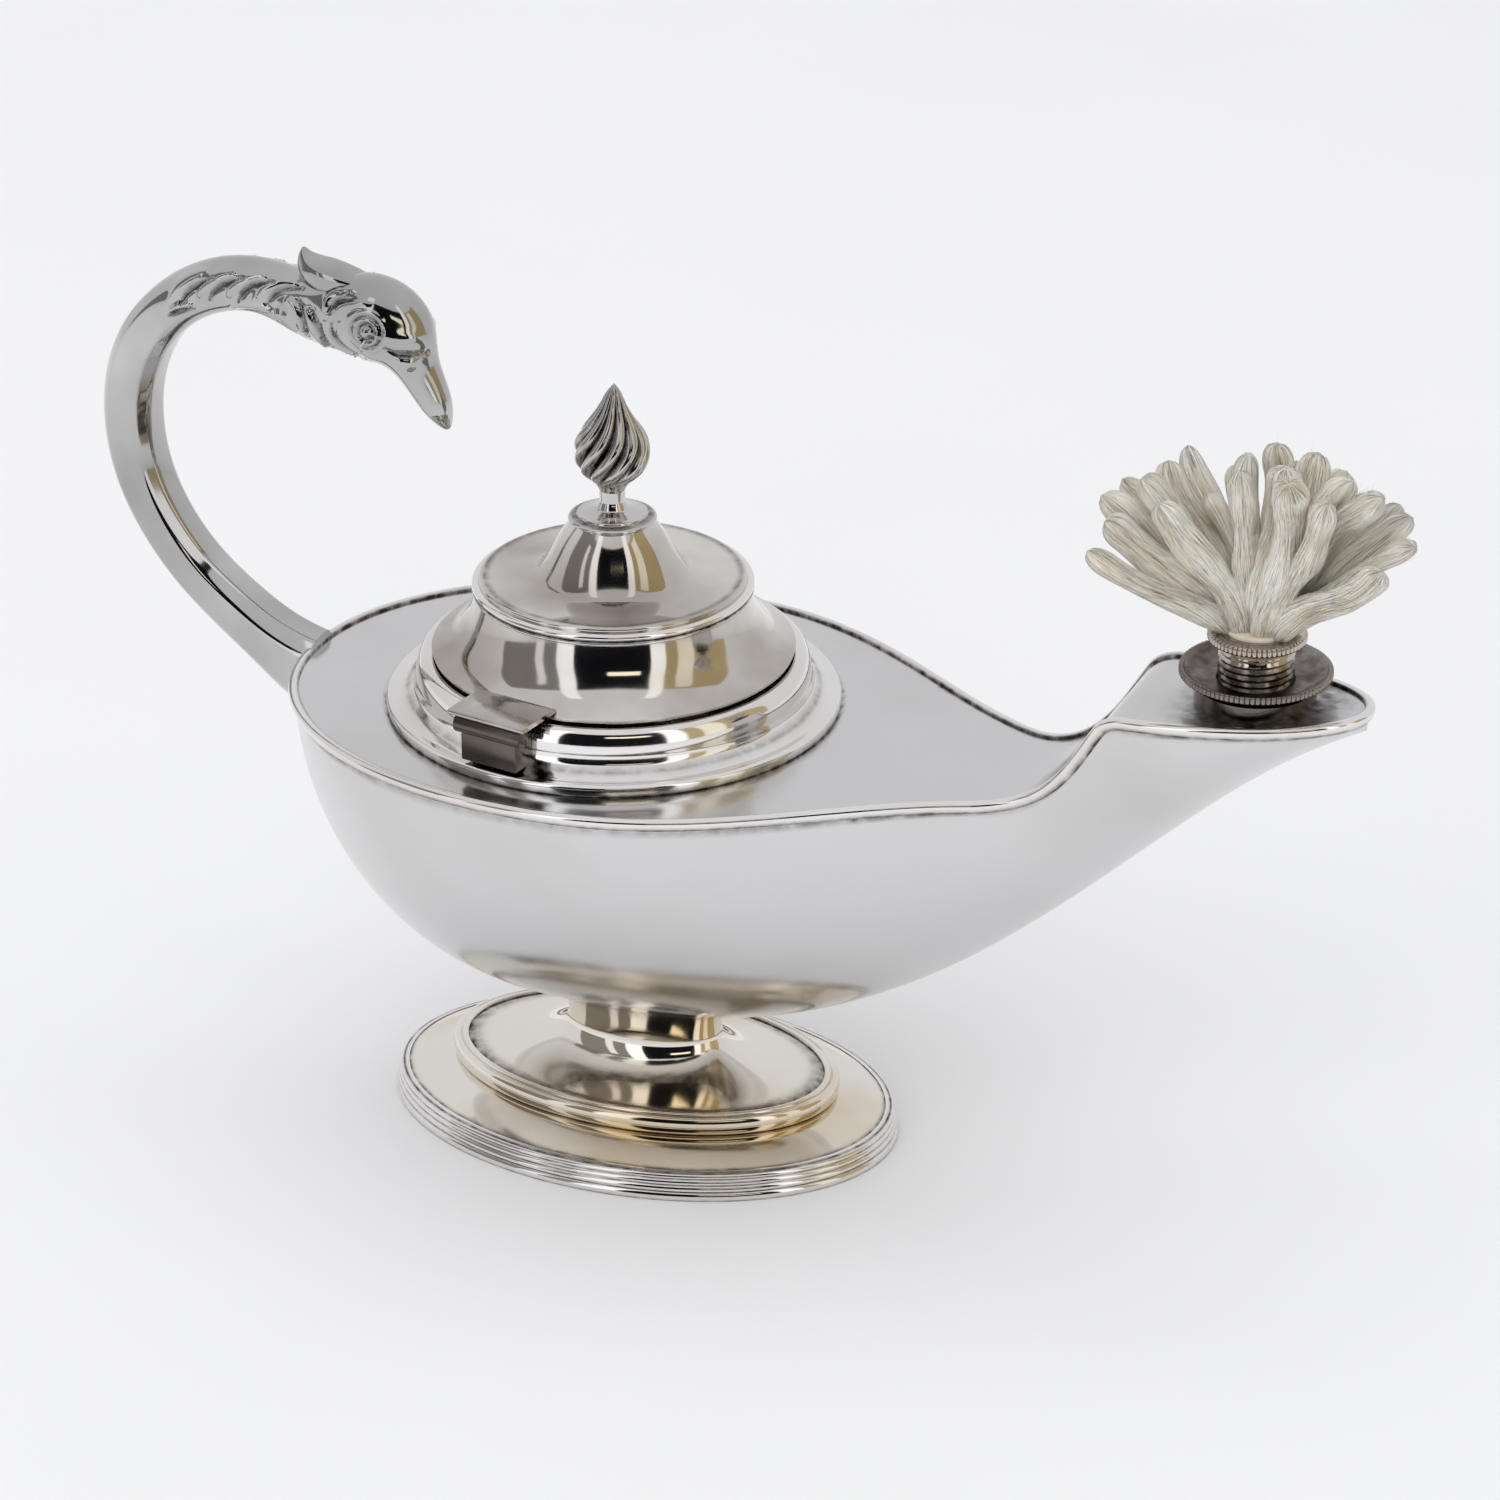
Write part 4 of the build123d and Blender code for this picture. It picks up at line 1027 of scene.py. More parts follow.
# ---- lid ----------------------------------------------------------------------------------
@dataclass
class Lid:
    """Bell-shaped lid: skirt, bead, cap, finial."""

    low_z: float = 78.0
    skirt_radius: float = 27.5
    neck_radius: float = 20.6
    skirt_top: float = 88.0
    sheet: float = 0.9
    bead: float = 0.9
    plate_radius: float = 19.7
    plate_z: float = 90.0
    cone_radius: float = 6.2
    cone_top: float = 98.9
    disc_radius: float = 6.8
    disc_height: float = 1.5
    spool_radius: float = 1.9
    flame_radius: float = 5.7
    flame_low: float = 105.4
    flame_tip: float = 120.9
    flutes: int = 11
    axis: float = field(default_factory=lambda: axis_x("lid_cap"))

    def skirt(self) -> None:
        """Spline through the bell's points, turned, with its own thickness inwards."""
        shape = np.array([(1.0, 0.05), (0.62, 0.17), (0.35, 0.38), (0.14, 0.64), (0.0, 1.0)])
        u = np.linspace(0, 1, 48)
        knots = np.linspace(0, 1, len(shape))
        curve = natural_spline(knots, shape, u)
        radius = self.neck_radius + (self.skirt_radius - self.neck_radius) * curve[:, 0]
        height = self.low_z + (self.skirt_top - self.low_z) * curve[:, 1]
        outer = np.stack([radius, height], -1)
        rim = self.skirt_radius
        foot = np.array([[rim - self.sheet, self.low_z], [rim - 0.15, self.low_z]])
        inner = np.stack([radius - self.sheet, height], -1)[::-1]
        profile = np.concatenate([foot, outer, inner])
        height = profile[:, 1]
        grime_and_shade = 0.5 * bell(height - self.skirt_top, 0.5) + 0.5 * bell(height - self.low_z, 0.2)
        mesh = mesh_of("lid_bell", [revolved(profile, self.axis, 320, True, grime_and_shade)])
        add_piece("lid_bell", mesh, LID_SILVER, "lid", ["lid_skirt"])

    def bead_ring(self) -> None:
        """Two soldered wires, a round one over a finer one."""
        turn = np.linspace(0, 2 * math.pi, 28, endpoint=False)
        neck, top = self.neck_radius, self.skirt_top
        ring = np.stack([neck - 0.1 + 0.8 * np.cos(turn), top + 0.75 + 0.62 * np.sin(turn)], -1)
        low = np.stack([neck + 0.25 + 0.42 * np.cos(turn), top - 0.15 + 0.34 * np.sin(turn)], -1)
        shells = [
            revolved(part, self.axis, 320, True, 0.8 * bell(part[:, 1] - self.skirt_top - 0.15, 0.2))
            for part in (ring, low)
        ]
        mesh = mesh_of("lid_bead", shells)
        add_piece("lid_bead", mesh, SILVER, "lid", ["lid_bead_wire"])

    def cap(self) -> None:
        """Flat plate that sweeps up in a hollow cone, with a raised edge."""
        shape = np.array([(0.8, 0.0), (0.48, 0.04), (0.36, 0.14), (0.25, 0.39), (0.13, 0.72), (0.0, 1.0)])
        curve = natural_spline(np.linspace(0, 1, len(shape)), shape, np.linspace(0, 1, 60))
        rise = self.cone_top - self.plate_z
        reach = self.plate_radius - self.cone_radius
        cone = np.stack([self.cone_radius + reach * curve[:, 0], self.plate_z + rise * curve[:, 1]], -1)
        edge = rounded([
            (self.neck_radius - 0.4, self.skirt_top), (self.neck_radius - 0.4, self.plate_z - 0.1),
            (self.neck_radius - 1.0, self.plate_z + 0.15), (self.plate_radius - 1.3, self.plate_z),
        ], 0.3, closed=False)
        top = np.array([[2.0, self.cone_top], [2.0, self.cone_top - self.sheet]])
        under = np.stack([cone[:, 0] - 0.55, cone[:, 1] - 0.75], -1)[::-1]
        profile = np.concatenate([edge, cone, top, under, [[self.plate_radius - 1.0, self.skirt_top]]])
        grime_and_shade = 0.55 * bell(profile[:, 0] - self.neck_radius + 1.3, 0.35)
        mesh = mesh_of("lid_crown", [revolved(profile, self.axis, 320, True, grime_and_shade)])
        add_piece("lid_crown", mesh, LID_SILVER, "lid", ["lid_cap"])

    def finial(self) -> None:
        """Stepped disc and spool, then a flame whose flutes follow a(t - twist(h)).

        The flame's radius is R(h) (1 + d e(h) f), where f is the flute wave and e fades it out
        at both ends.
        """
        top = self.cone_top + self.disc_height
        stud = [(0.0, self.cone_top - 4.0), (1.5, self.cone_top - 4.0), (1.5, self.cone_top)]
        steps = [
            (self.disc_radius - 0.5, self.cone_top), (self.disc_radius, self.cone_top + 0.4),
            (self.disc_radius - 0.5, self.cone_top + 0.85), (self.disc_radius - 1.4, self.cone_top + 0.95),
            (self.disc_radius - 1.6, top - 0.1), (4.6, top - 0.15), (3.6, top + 0.1), (2.5, top + 0.5),
            (self.spool_radius, top + 1.6), (self.spool_radius + 0.1, top + 3.6),
            (2.6, top + 4.5), (3.0, self.flame_low),
        ]
        profile = rounded(stud + steps, 0.3, closed=False)
        height = profile[:, 1]
        grime_and_shade = 0.7 * bell(height - self.cone_top - 0.95, 0.15) + 0.5 * bell(height - self.flame_low, 0.4)
        shape = np.array([
            (0.54, 0.0), (0.88, 0.12), (1.0, 0.28), (0.93, 0.44),
            (0.66, 0.6), (0.38, 0.76), (0.2, 0.9), (0.0, 1.0),
        ])
        h = 1 - (1 - np.linspace(0, 1, 120)) ** 1.25
        radius = self.flame_radius * np.interp(h, *self.flame_curve(shape))
        angle = np.linspace(0, 2 * math.pi, 264, endpoint=False)
        twist = 1.5 * h + 0.35 * np.sin(math.pi * h)
        phase = self.flutes * (angle[None] - twist[:, None]) / 2
        flute = np.abs(np.sin(phase)) ** 0.7
        depth = 0.26 * np.sin(math.pi * np.clip(h, 0, 0.999) ** 0.8) ** 0.5
        swell = 1 - depth[:, None] * (1 - flute)
        lean = 0.5 * h[:, None] ** 3
        r = radius[:, None] * swell
        z = self.flame_low + (self.flame_tip - self.flame_low) * h
        x, y = self.axis + lean + r * np.cos(angle), r * np.sin(angle)
        points = np.stack([x, y, np.repeat(z[:, None], 264, 1)], -1)
        crevice = np.clip(1.15 * (1 - flute) ** 1.3 * (depth[:, None] / 0.26) + 0.16, 0, 1)
        flame = Shell(points, False, True, crevice)
        mesh = mesh_of("finial_cast", [revolved(profile, self.axis, 128, False, grime_and_shade), flame], closed=False)
        piece = add_piece("finial_cast", mesh, FLAME_SILVER, "lid", ["finial_flame"], 60)
        turn_outwards(piece)

    @staticmethod
    def flame_curve(shape: Array) -> tuple[Array, Array]:
        """Heights and radii of the flame's outline, smoothed by a spline through its points.

        Args:
            shape: The outline's (radius, height) shares.

        Returns:
            The heights, and the radius at each.
        """
        u = np.linspace(0, 1, 200)
        curve = natural_spline(np.linspace(0, 1, len(shape)), shape, u)
        return curve[:, 1], np.maximum(curve[:, 0], 0)

    def build(self) -> None:
        """Builds the lid's pieces."""
        self.skirt()
        self.bead_ring()
        self.cap()
        self.finial()


# ---- hinge --------------------------------------------------------------------------------
@dataclass
class Hinge:
    """Lid hinge: a soldered block with its barrel under the lid's plain cover plate.

    Its frame lies at the pin: X along the pin, Y inwards to the lid's axis, Z up.
    """

    angle: float = math.radians(9.0)
    length: float = 13.4
    knuckle: float = 1.45
    block_low: float = -5.6
    block_in: float = 3.6
    plate_low: float = 1.56
    plate_high: float = 2.35
    plate_out: float = -1.5
    plate_in: float = 7.6

    def bar(self, profile: Array, half: float, ends: float = 0.25) -> Shell:
        """Bar of a (y, z) profile along the pin, its ends drawn in as a quarter circle.

        Args:
            profile: The bar's section.
            half: Half its length.
            ends: How far its ends are rounded.

        Returns:
            The shell, in the lamp's frame.
        """
        turn = np.linspace(0, math.pi / 2, 5)
        middle = profile.mean(0)
        reach = np.abs(profile - middle).max()
        rounding = [(-half + ends * (1 - math.cos(a)), ends * (1 - math.sin(a))) for a in turn]
        stations = [(-half, reach)] + rounding
        stations = stations + [(-x, inset) for x, inset in stations[::-1]]
        rows = []
        for x, inset in stations:
            section = middle + (profile - middle) * (1 - inset / reach)
            rows.append(np.concatenate([np.full((len(section), 1), x), section], -1))
        local = np.stack(rows)
        low, high = box_mm("hinge_pin")
        origin = (low + high) / 2
        along = np.array([math.cos(self.angle), -math.sin(self.angle), 0])
        inward = np.array([math.sin(self.angle), math.cos(self.angle), 0])
        up = np.array([0, 0, 1.0])
        points = origin + local[..., :1] * along + local[..., 1:2] * inward + local[..., 2:] * up
        return Shell(points, False, True, np.full(points.shape[:2], 0.15))

    def build(self) -> None:
        """Builds the block with its barrel on the collar, and the cover plate on the lid."""
        half = self.length / 2
        turn = np.linspace(0, 2 * math.pi, 28, endpoint=False)
        barrel = self.knuckle * np.stack([np.cos(turn), np.sin(turn)], -1)
        block = rounded([
            (-0.7, self.block_low), (self.block_in, self.block_low), (self.block_in, -0.6), (-0.7, -0.6),
        ], 0.2)
        shells = [self.bar(barrel, half - 0.9, 0.15), self.bar(block, half - 1.9, 0.15)]
        mesh = mesh_of("hinge_block", shells)
        add_piece("hinge_block", mesh, TARNISHED, "root", ["hinge_fixed_leaf", "hinge_pin"])
        plate = rounded([
            (self.plate_out, self.plate_low), (self.plate_in, self.plate_low),
            (self.plate_in, self.plate_high - 0.3),
            (3.2, self.plate_high), (self.plate_out, self.plate_high - 0.1),
        ], 0.3)
        mesh = mesh_of("hinge_plate", [self.bar(plate, half, 0.12)])
        add_piece("hinge_plate", mesh, LID_SILVER, "lid", ["hinge_lid_leaf"])


# ---- burner -------------------------------------------------------------------------------
@dataclass
class Burner:
    """Screwed wick tube with its saucer and milled cap."""

    tube: float = 5.6
    bore: float = 4.9
    tube_low: float = 82.6
    pitch: float = 1.0
    dish: float = 11.2
    dish_low: float = 90.8
    dish_rim: float = 93.2
    cap: float = 7.25
    cap_low: float = 97.4
    cap_high: float = 99.0
    axis: float = field(default_factory=lambda: axis_x("burner_cap"))

    def threaded_tube(self) -> None:
        """Thread on the tube's outside: a triangle wave of the height less the turned angle."""
        rows = np.linspace(self.tube_low, self.cap_high, 220)
        outer = np.stack([np.full_like(rows, self.tube), rows], -1)
        inner = np.stack([np.full(2, self.bore), [self.cap_high, self.tube_low]], -1)
        profile = np.concatenate([outer, inner])

        def thread(line: Array, angle: Array) -> Array:
            """Radius added by the thread, on the outer wall alone.

            Args:
                line: The tube's (radius, height) points.
                angle: Angles round it.

            Returns:
                The added radius, a row for each point.
            """
            phase = line[:, 1:2] / self.pitch - angle[None] / (2 * math.pi)
            wave = np.abs(2 * (phase - np.floor(phase)) - 1)
            cut = smooth_step(line[:, 1:2], self.cap_low + 0.2, self.cap_low - 0.3)
            return -0.32 * wave * cut * (line[:, :1] > self.bore + 0.1)

        # Painted shade in part: the tube is darkened below the cap down past the saucer, standing for the
        # unlit lower tube as well as its tarnish.
        dark = 0.9 * smooth_step(rows, self.cap_low - 1.6, self.cap_low - 3.4)
        grime_and_shade = np.concatenate([dark, [0.6, 0.6]])
        mesh = mesh_of("burner_tube", [revolved(profile, self.axis, 120, True, grime_and_shade, thread)])
        add_piece("burner_tube", mesh, NICKEL, "burner", ["wick_tube"], 50)

    def saucer(self) -> None:
        """Shallow saucer with a beaded rim: the rim's radius swings 90 times round."""
        low, high = self.dish_low, self.dish_rim
        profile = dense(rounded([
            (self.tube, low), (8.3, low), (self.dish - 0.7, high - 1.35), (self.dish, high - 1.1),
            (self.dish, high - 0.1), (self.dish - 0.55, high), (self.dish - 0.9, high - 0.5),
            (self.dish - 1.6, high - 0.95), (7.9, low + 0.7), (self.tube, low + 0.7),
        ], 0.3), 0.35)
        edge = (profile[:, 0] > self.dish - 0.3) & (profile[:, 1] > high - 1.3)

        def beads(line: Array, angle: Array) -> Array:
            """Radius taken off between the beads of the rim."""
            return -0.28 * edge[:, None] * (1 - np.abs(np.sin(45 * angle[None])) ** 0.7)

        inside = smooth_step(profile[:, 0], self.dish - 0.6, self.dish - 1.4)
        grime_and_shade = np.where(edge, 0.1, 0.25 + 0.35 * inside)
        mesh = mesh_of("burner_saucer", [revolved(profile, self.axis, 540, True, grime_and_shade, beads)])
        add_piece("burner_saucer", mesh, SAUCER_METAL, "burner", ["drip_dish"], 50)

    def milled_cap(self) -> None:
        """Cap ring with upright milling: its outer radius swings 60 times round."""
        low, high = self.cap_low, self.cap_high
        profile = dense(rounded([
            (self.tube, low), (self.cap - 0.5, low), (self.cap, low + 0.3), (self.cap, high - 0.45),
            (self.cap - 0.35, high - 0.1), (self.tube + 0.2, high), (self.tube - 0.1, high - 0.2),
        ], 0.2), 0.3)

        def milling(line: Array, angle: Array) -> Array:
            """Radius taken off in the milled grooves."""
            reach = smooth_step(line[:, :1], self.cap - 0.6, self.cap - 0.1)
            return -0.38 * reach * (1 - np.abs(np.sin(30 * angle[None])) ** 0.6)

        grime_and_shade = 0.35 * bell(profile[:, 1] - low, 0.3) + 0.15
        mesh = mesh_of("burner_grip", [revolved(profile, self.axis, 480, True, grime_and_shade, milling)])
        add_piece("burner_grip", mesh, NICKEL, "burner", ["burner_cap"], 50)

    def build(self) -> None:
        """Builds the burner's pieces."""
        self.threaded_tube()
        self.saucer()
        self.milled_cap()


# ---- wick ---------------------------------------------------------------------------------
@dataclass
class Wick:
    """Fan of soft cotton strands held in the tube.

    Each strand is its tip from the burner's axis and above the tube's mouth, and its thickness.
    """

    strands: tuple = (
        (-20.8, -7.0, 15.3, 4.2), (-24.2, -2.0, 17.4, 3.6), (-22.0, 2.0, 17.8, 3.4),
        (-12.6, -11.0, 22.6, 4.2), (-18.2, -2.0, 21.6, 3.8), (-15.8, 5.0, 22.4, 3.7),
        (-14.2, 10.5, 23.0, 3.7), (-1.6, -7.0, 27.2, 3.6), (-2.2, -1.0, 27.0, 3.8),
        (8.0, -12.5, 28.6, 4.6), (0.6, 6.0, 26.2, 4.2), (1.6, 12.0, 22.4, 4.0),
        (13.4, -9.0, 25.6, 4.2), (6.5, 4.0, 26.8, 4.4), (10.0, 9.5, 22.9, 4.2),
        (17.8, -3.0, 26.0, 3.9), (18.0, 6.0, 20.4, 3.9), (22.0, 2.0, 19.8, 3.8),
        (24.4, -4.0, 17.8, 3.9), (-21.6, -10.5, 12.4, 3.4), (4.2, -4.0, 27.6, 4.0),
        (12.6, 1.0, 25.2, 4.0), (-7.5, 13.0, 19.5, 3.8), (-9.0, 4.0, 18.0, 3.6),
        (14.0, 12.5, 18.0, 3.8), (20.5, -9.5, 16.6, 3.6),
    )
    mouth: float = 4.5
    low_z: float = 97.2
    mouth_z: float = 99.0
    axis: float = field(default_factory=lambda: axis_x("wick_core"))
    seed: int = 11

    def strand(self, tip: Array, thickness: float, rng: np.random.Generator) -> Shell:
        """Soft strand along a cubic curve, lumpy and faintly lobed, with a rounded end.

        Radius: r(u) (1 + lobes turning along the strand + slow lumps), r swelling out of the
        tube's mouth and closing as a quarter circle at both ends.

        Args:
            tip: Where it ends, in the lamp's frame.
            thickness: Its full thickness.
            rng: Source of its unevenness.

        Returns:
            The strand's shell, mapped round it and along it.
        """
        rows, columns = 76, 30
        reach = np.array([tip[0] - self.axis, tip[1]])
        lean = reach / max(26.0, float(np.linalg.norm(reach)))
        start = np.array([self.axis + self.mouth * lean[0] * 0.86, self.mouth * lean[1] * 0.86, self.low_z])
        rise = tip[2] - start[2]
        first = start + np.array([reach[0] * 0.02, reach[1] * 0.02, rise * 0.22])
        sway = rng.normal(0, 1.5, 3) * [1, 1, 0.4]
        second = start + np.array([reach[0] * 0.42, reach[1] * 0.42, rise * 0.62]) + sway
        u = np.linspace(0, 1, rows)
        centre = bezier([start, first, second, tip], u)
        wander = np.sin(u[:, None] * rng.uniform(5, 9, 3) + rng.uniform(0, 6, 3)) * 0.8 * u[:, None]
        centre = centre + wander
        ahead = np.gradient(centre, axis=0)
        ahead /= np.linalg.norm(ahead, axis=1, keepdims=True)
        side = np.cross(ahead, [0.31, 0.95, 0.0])
        side /= np.linalg.norm(side, axis=1, keepdims=True)
        other = np.cross(ahead, side)
        swell = 0.58 + 0.42 * smooth_step(u, 0.06, 0.34)
        length = float(np.linalg.norm(np.diff(centre, axis=0), axis=1).sum())
        radius = thickness / 2
        near_end = np.clip((1 - u) * length / (radius * rng.uniform(0.9, 1.5)), 0, 1)
        end = np.sqrt(1 - (1 - near_end) ** 2)
        begin = np.sqrt(1 - (1 - np.clip(u * length / 1.2, 0, 1)) ** 2)
        angle = np.linspace(0, 2 * math.pi, columns, endpoint=False)
        turn = rng.uniform(1.2, 2.6) * rng.choice([-1, 1])
        phase = angle[None] + turn * u[:, None] + rng.uniform(0, 6)
        lobes = 0.12 * np.cos(2 * phase) + 0.06 * np.cos(5 * phase + 2 * u[:, None] + 1.0)
        lumps = 0.13 * np.sin(u[:, None] * rng.uniform(9, 20) + rng.uniform(0, 6))
        lumps = lumps + 0.11 * np.cos(phase + rng.uniform(7, 14) * u[:, None])
        flat = 0.18 * np.cos(2 * angle[None] + rng.uniform(0, 6))
        r = radius * (swell * end * begin)[:, None] * (1 + lobes + lumps + flat)
        points = centre[:, None] + side[:, None] * (r * np.cos(angle))[..., None]
        points = points + other[:, None] * (r * np.sin(angle))[..., None]
        # Painted shade: the strand is darkened in the hollows between its lobes and towards its root in the
        # tube's mouth.
        fold_and_root_shade = np.clip(-(lobes / 0.12), 0, 1) * 0.3 + 0.5 * smooth_step(u, 0.2, 0.02)[:, None]
        around = np.repeat((angle / (2 * math.pi))[None], rows, 0)
        around = np.minimum(around, 1 - around) * 2
        along = np.repeat((u * length / 25)[:, None], columns, 1) + rng.uniform(0, 40)
        return Shell(points, False, True, np.clip(fold_and_root_shade, 0, 1), np.stack([around, along], -1))

    def fuzz(self, shells: Sequence[Shell], rng: np.random.Generator) -> list[Shell]:
        """Loose fibres standing off the strands, each a bent three-sided hair.

        Args:
            shells: The strands.
            rng: Source of their places.

        Returns:
            One shell for each hair.
        """
        hairs = []
        angle = np.linspace(0, 2 * math.pi, 3, endpoint=False)
        for shell in shells:
            rows, columns = shell.points.shape[:2]
            centres = shell.points.mean(1)
            for _ in range(16):
                row = int(rng.integers(int(rows * 0.3), rows - 2))
                column = int(rng.integers(columns))
                root = shell.points[row, column]
                out = root - centres[row]
                out /= max(np.linalg.norm(out), 1e-6)
                along = centres[min(row + 3, rows - 1)] - centres[row - 3]
                along /= np.linalg.norm(along)
                u = np.linspace(0, 1, 5)[:, None]
                reach = rng.uniform(0.5, 1.3)
                line = root - out * 0.2 + out * reach * u * (1.4 - u) + along * rng.uniform(1.0, 3.0) * u
                line = line + rng.normal(0, 0.35, 3) * u**2
                width = 0.045 * (1 - 0.97 * u[:, 0])
                side = np.cross(along, out)
                ring = np.cos(angle)[None, :, None] * out + np.sin(angle)[None, :, None] * side
                hairs.append(Shell(line[:, None] + width[:, None, None] * ring))
        return hairs

    def build(self) -> None:
        """Builds the tuft as one piece of many strands with their loose fibres."""
        rng = np.random.default_rng(self.seed)
        shells = []
        for dx, dy, dz, thickness in self.strands:
            tip = np.array([self.axis + dx, dy, self.mouth_z + dz])
            shells.append(self.strand(tip, thickness, rng))
        hairs = self.fuzz(shells, rng)
        mesh = mesh_of("wick_strands", shells + hairs)
        add_piece("wick_strands", mesh, ROVING, "wick", ["wick_tuft"], 70)


# ---- handle -------------------------------------------------------------------------------
class Mark(Enum):
    """Kind of a chased mark on the cast head: its height in millimetres and its width."""

    RIDGE = (0.42, 0.55)
    LEAF = (0.55, 1.1)
    GROOVE = (-0.36, 0.42)
    DEEP = (-0.48, 0.48)
    SOFT = (0.4, 1.3)


@dataclass
class Handle:
    """Cast swan neck: a faceted stem that rounds off into a feathered neck, head and bill."""

    stations: tuple = (
        (-51.5, 63.6, 6.6, 4.6), (-56.5, 65.6, 6.0, 4.5), (-62.0, 68.7, 4.9, 4.4),
        (-68.8, 73.5, 4.3, 4.3), (-75.4, 79.3, 4.1, 4.3), (-80.4, 85.8, 4.1, 4.3),
        (-83.9, 93.2, 4.2, 4.4), (-85.4, 101.2, 4.3, 4.4), (-84.8, 109.4, 4.3, 4.4),
        (-81.5, 117.4, 4.2, 4.3), (-76.0, 123.2, 4.1, 4.2), (-69.2, 126.6, 4.2, 4.2),
        (-61.8, 127.4, 4.3, 4.2), (-55.0, 125.8, 4.9, 4.6), (-49.0, 125.0, 5.9, 5.3),
        (-43.6, 125.0, 6.9, 5.8), (-39.5, 122.7, 6.2, 5.4), (-36.7, 118.6, 3.7, 4.1),
        (-34.7, 114.9, 2.9, 3.3), (-32.9, 111.6, 2.2, 2.6), (-31.5, 108.9, 1.4, 1.8),
    )
    marks: tuple = (
        (Mark.RIDGE, (-75.9, 122.8), (-74.6, 124.2), (-72.3, 124.3)),
        (Mark.GROOVE, (-76.2, 122.0), (-74.2, 123.0), (-72.0, 123.4)),
        (Mark.LEAF, (-65.3, 125.0), (-62.2, 126.6), (-58.7, 125.4)),
        (Mark.DEEP, (-64.9, 123.8), (-61.4, 125.2), (-58.2, 124.0)),
        (Mark.LEAF, (-58.6, 124.8), (-56.2, 125.4), (-55.0, 123.0)),
        (Mark.DEEP, (-57.8, 123.4), (-56.2, 123.8), (-55.6, 121.8)),
        (Mark.LEAF, (-55.4, 127.4), (-53.4, 126.0), (-53.5, 123.2)),
        (Mark.DEEP, (-54.2, 127.8), (-52.4, 126.0), (-52.8, 122.4)),
        (Mark.LEAF, (-52.6, 126.6), (-51.4, 124.0), (-50.6, 120.8)),
        (Mark.DEEP, (-51.6, 126.8), (-50.2, 124.0), (-49.2, 120.4)),
        (Mark.RIDGE, (-49.4, 127.6), (-49.8, 130.2), (-45.2, 130.6)),
        (Mark.DEEP, (-48.6, 127.0), (-48.6, 129.2), (-44.6, 129.4)),
        (Mark.RIDGE, (-47.4, 126.8), (-46.8, 129.0), (-42.6, 129.2)),
        (Mark.RIDGE, (-49.4, 125.2), (-50.0, 121.4), (-45.8, 119.6)),
        (Mark.GROOVE, (-48.2, 125.4), (-48.8, 121.8), (-45.0, 120.2)),
        (Mark.RIDGE, (-46.8, 125.6), (-47.4, 122.6), (-44.2, 121.0)),
        (Mark.DEEP, (-43.4, 119.8), (-38.6, 116.4), (-33.4, 109.8)),
        (Mark.SOFT, (-40.4, 124.6), (-37.6, 124.0), (-35.4, 124.4)),
        (Mark.DEEP, (-39.2, 122.6), (-36.6, 121.4), (-34.0, 121.8)),
        (Mark.SOFT, (-37.2, 120.6), (-36.4, 120.4), (-35.6, 120.0)),
        (Mark.SOFT, (-43.2, 121.2), (-42.4, 120.6), (-41.4, 120.4)),
    )
    feathers: int = 4
    feather_start: tuple[float, float] = (-75.6, 124.9)
    feather_pitch: float = 4.95
    eye: tuple[float, float] = (-42.3, 125.0)
    crest: tuple = (
        (-43.0, 129.4, 1.6, 3.0), (-47.0, 130.0, 2.1, 3.4), (-51.0, 130.3, 2.5, 3.3),
        (-53.7, 131.6, 2.0, 2.7), (-54.9, 133.3, 1.2, 1.8), (-55.1, 134.8, 0.4, 0.8),
    )
    rows: int = 460
    columns: int = 152

    def sections(self) -> tuple[Array, Array, Array, Array]:
        """The four section shapes, each as (side, outward) points of a unit section.

        They are a rounded keystone with flat sides, an oval, the head's broad-browed egg and
        the bill's ridge over a flat underside.

        Returns:
            Keystone, oval, head and bill, matched point for point from the back round.
        """
        turn = np.linspace(0, 2 * math.pi, self.columns, endpoint=False)
        half = [(0.0, 1.0), (0.5, 0.93), (0.84, 0.62), (1.0, -0.42), (0.98, -0.56), (0.5, -0.98), (0.0, -1.0)]
        corners = half + [(-y, n) for y, n in half[-2:0:-1]]
        ring = dense(np.concatenate([rounded(corners, 0.16), rounded(corners, 0.16)[:1]]), 0.04)
        place = np.concatenate([[0], np.cumsum(np.linalg.norm(np.diff(ring, axis=0), axis=1))])
        top = place[np.argmax(ring[:, 1] - 10 * np.abs(ring[:, 0]))]
        wanted = (np.linspace(0, place[-1], self.columns, endpoint=False) + top) % place[-1]
        keystone = np.stack([np.interp(wanted, place, ring[:, i]) for i in range(2)], -1)
        oval = np.stack([np.sin(turn), np.cos(turn)], -1)
        up = np.cos(turn)
        across = np.sin(turn)
        brow = 0.93 + 0.1 * up - 0.12 * (up < 0) * up**2
        head = np.stack([across * brow, np.sign(up) * np.abs(up) ** 0.92], -1)
        bevel = 1 - 0.12 * np.clip(up, 0, 1) ** 1.5
        bill = np.stack([across * bevel, np.where(up > 0, up, up * 0.85)], -1)
        if keystone[5, 0] * oval[5, 0] < 0:
            keystone = keystone[::-1]
        return keystone, oval, head, bill

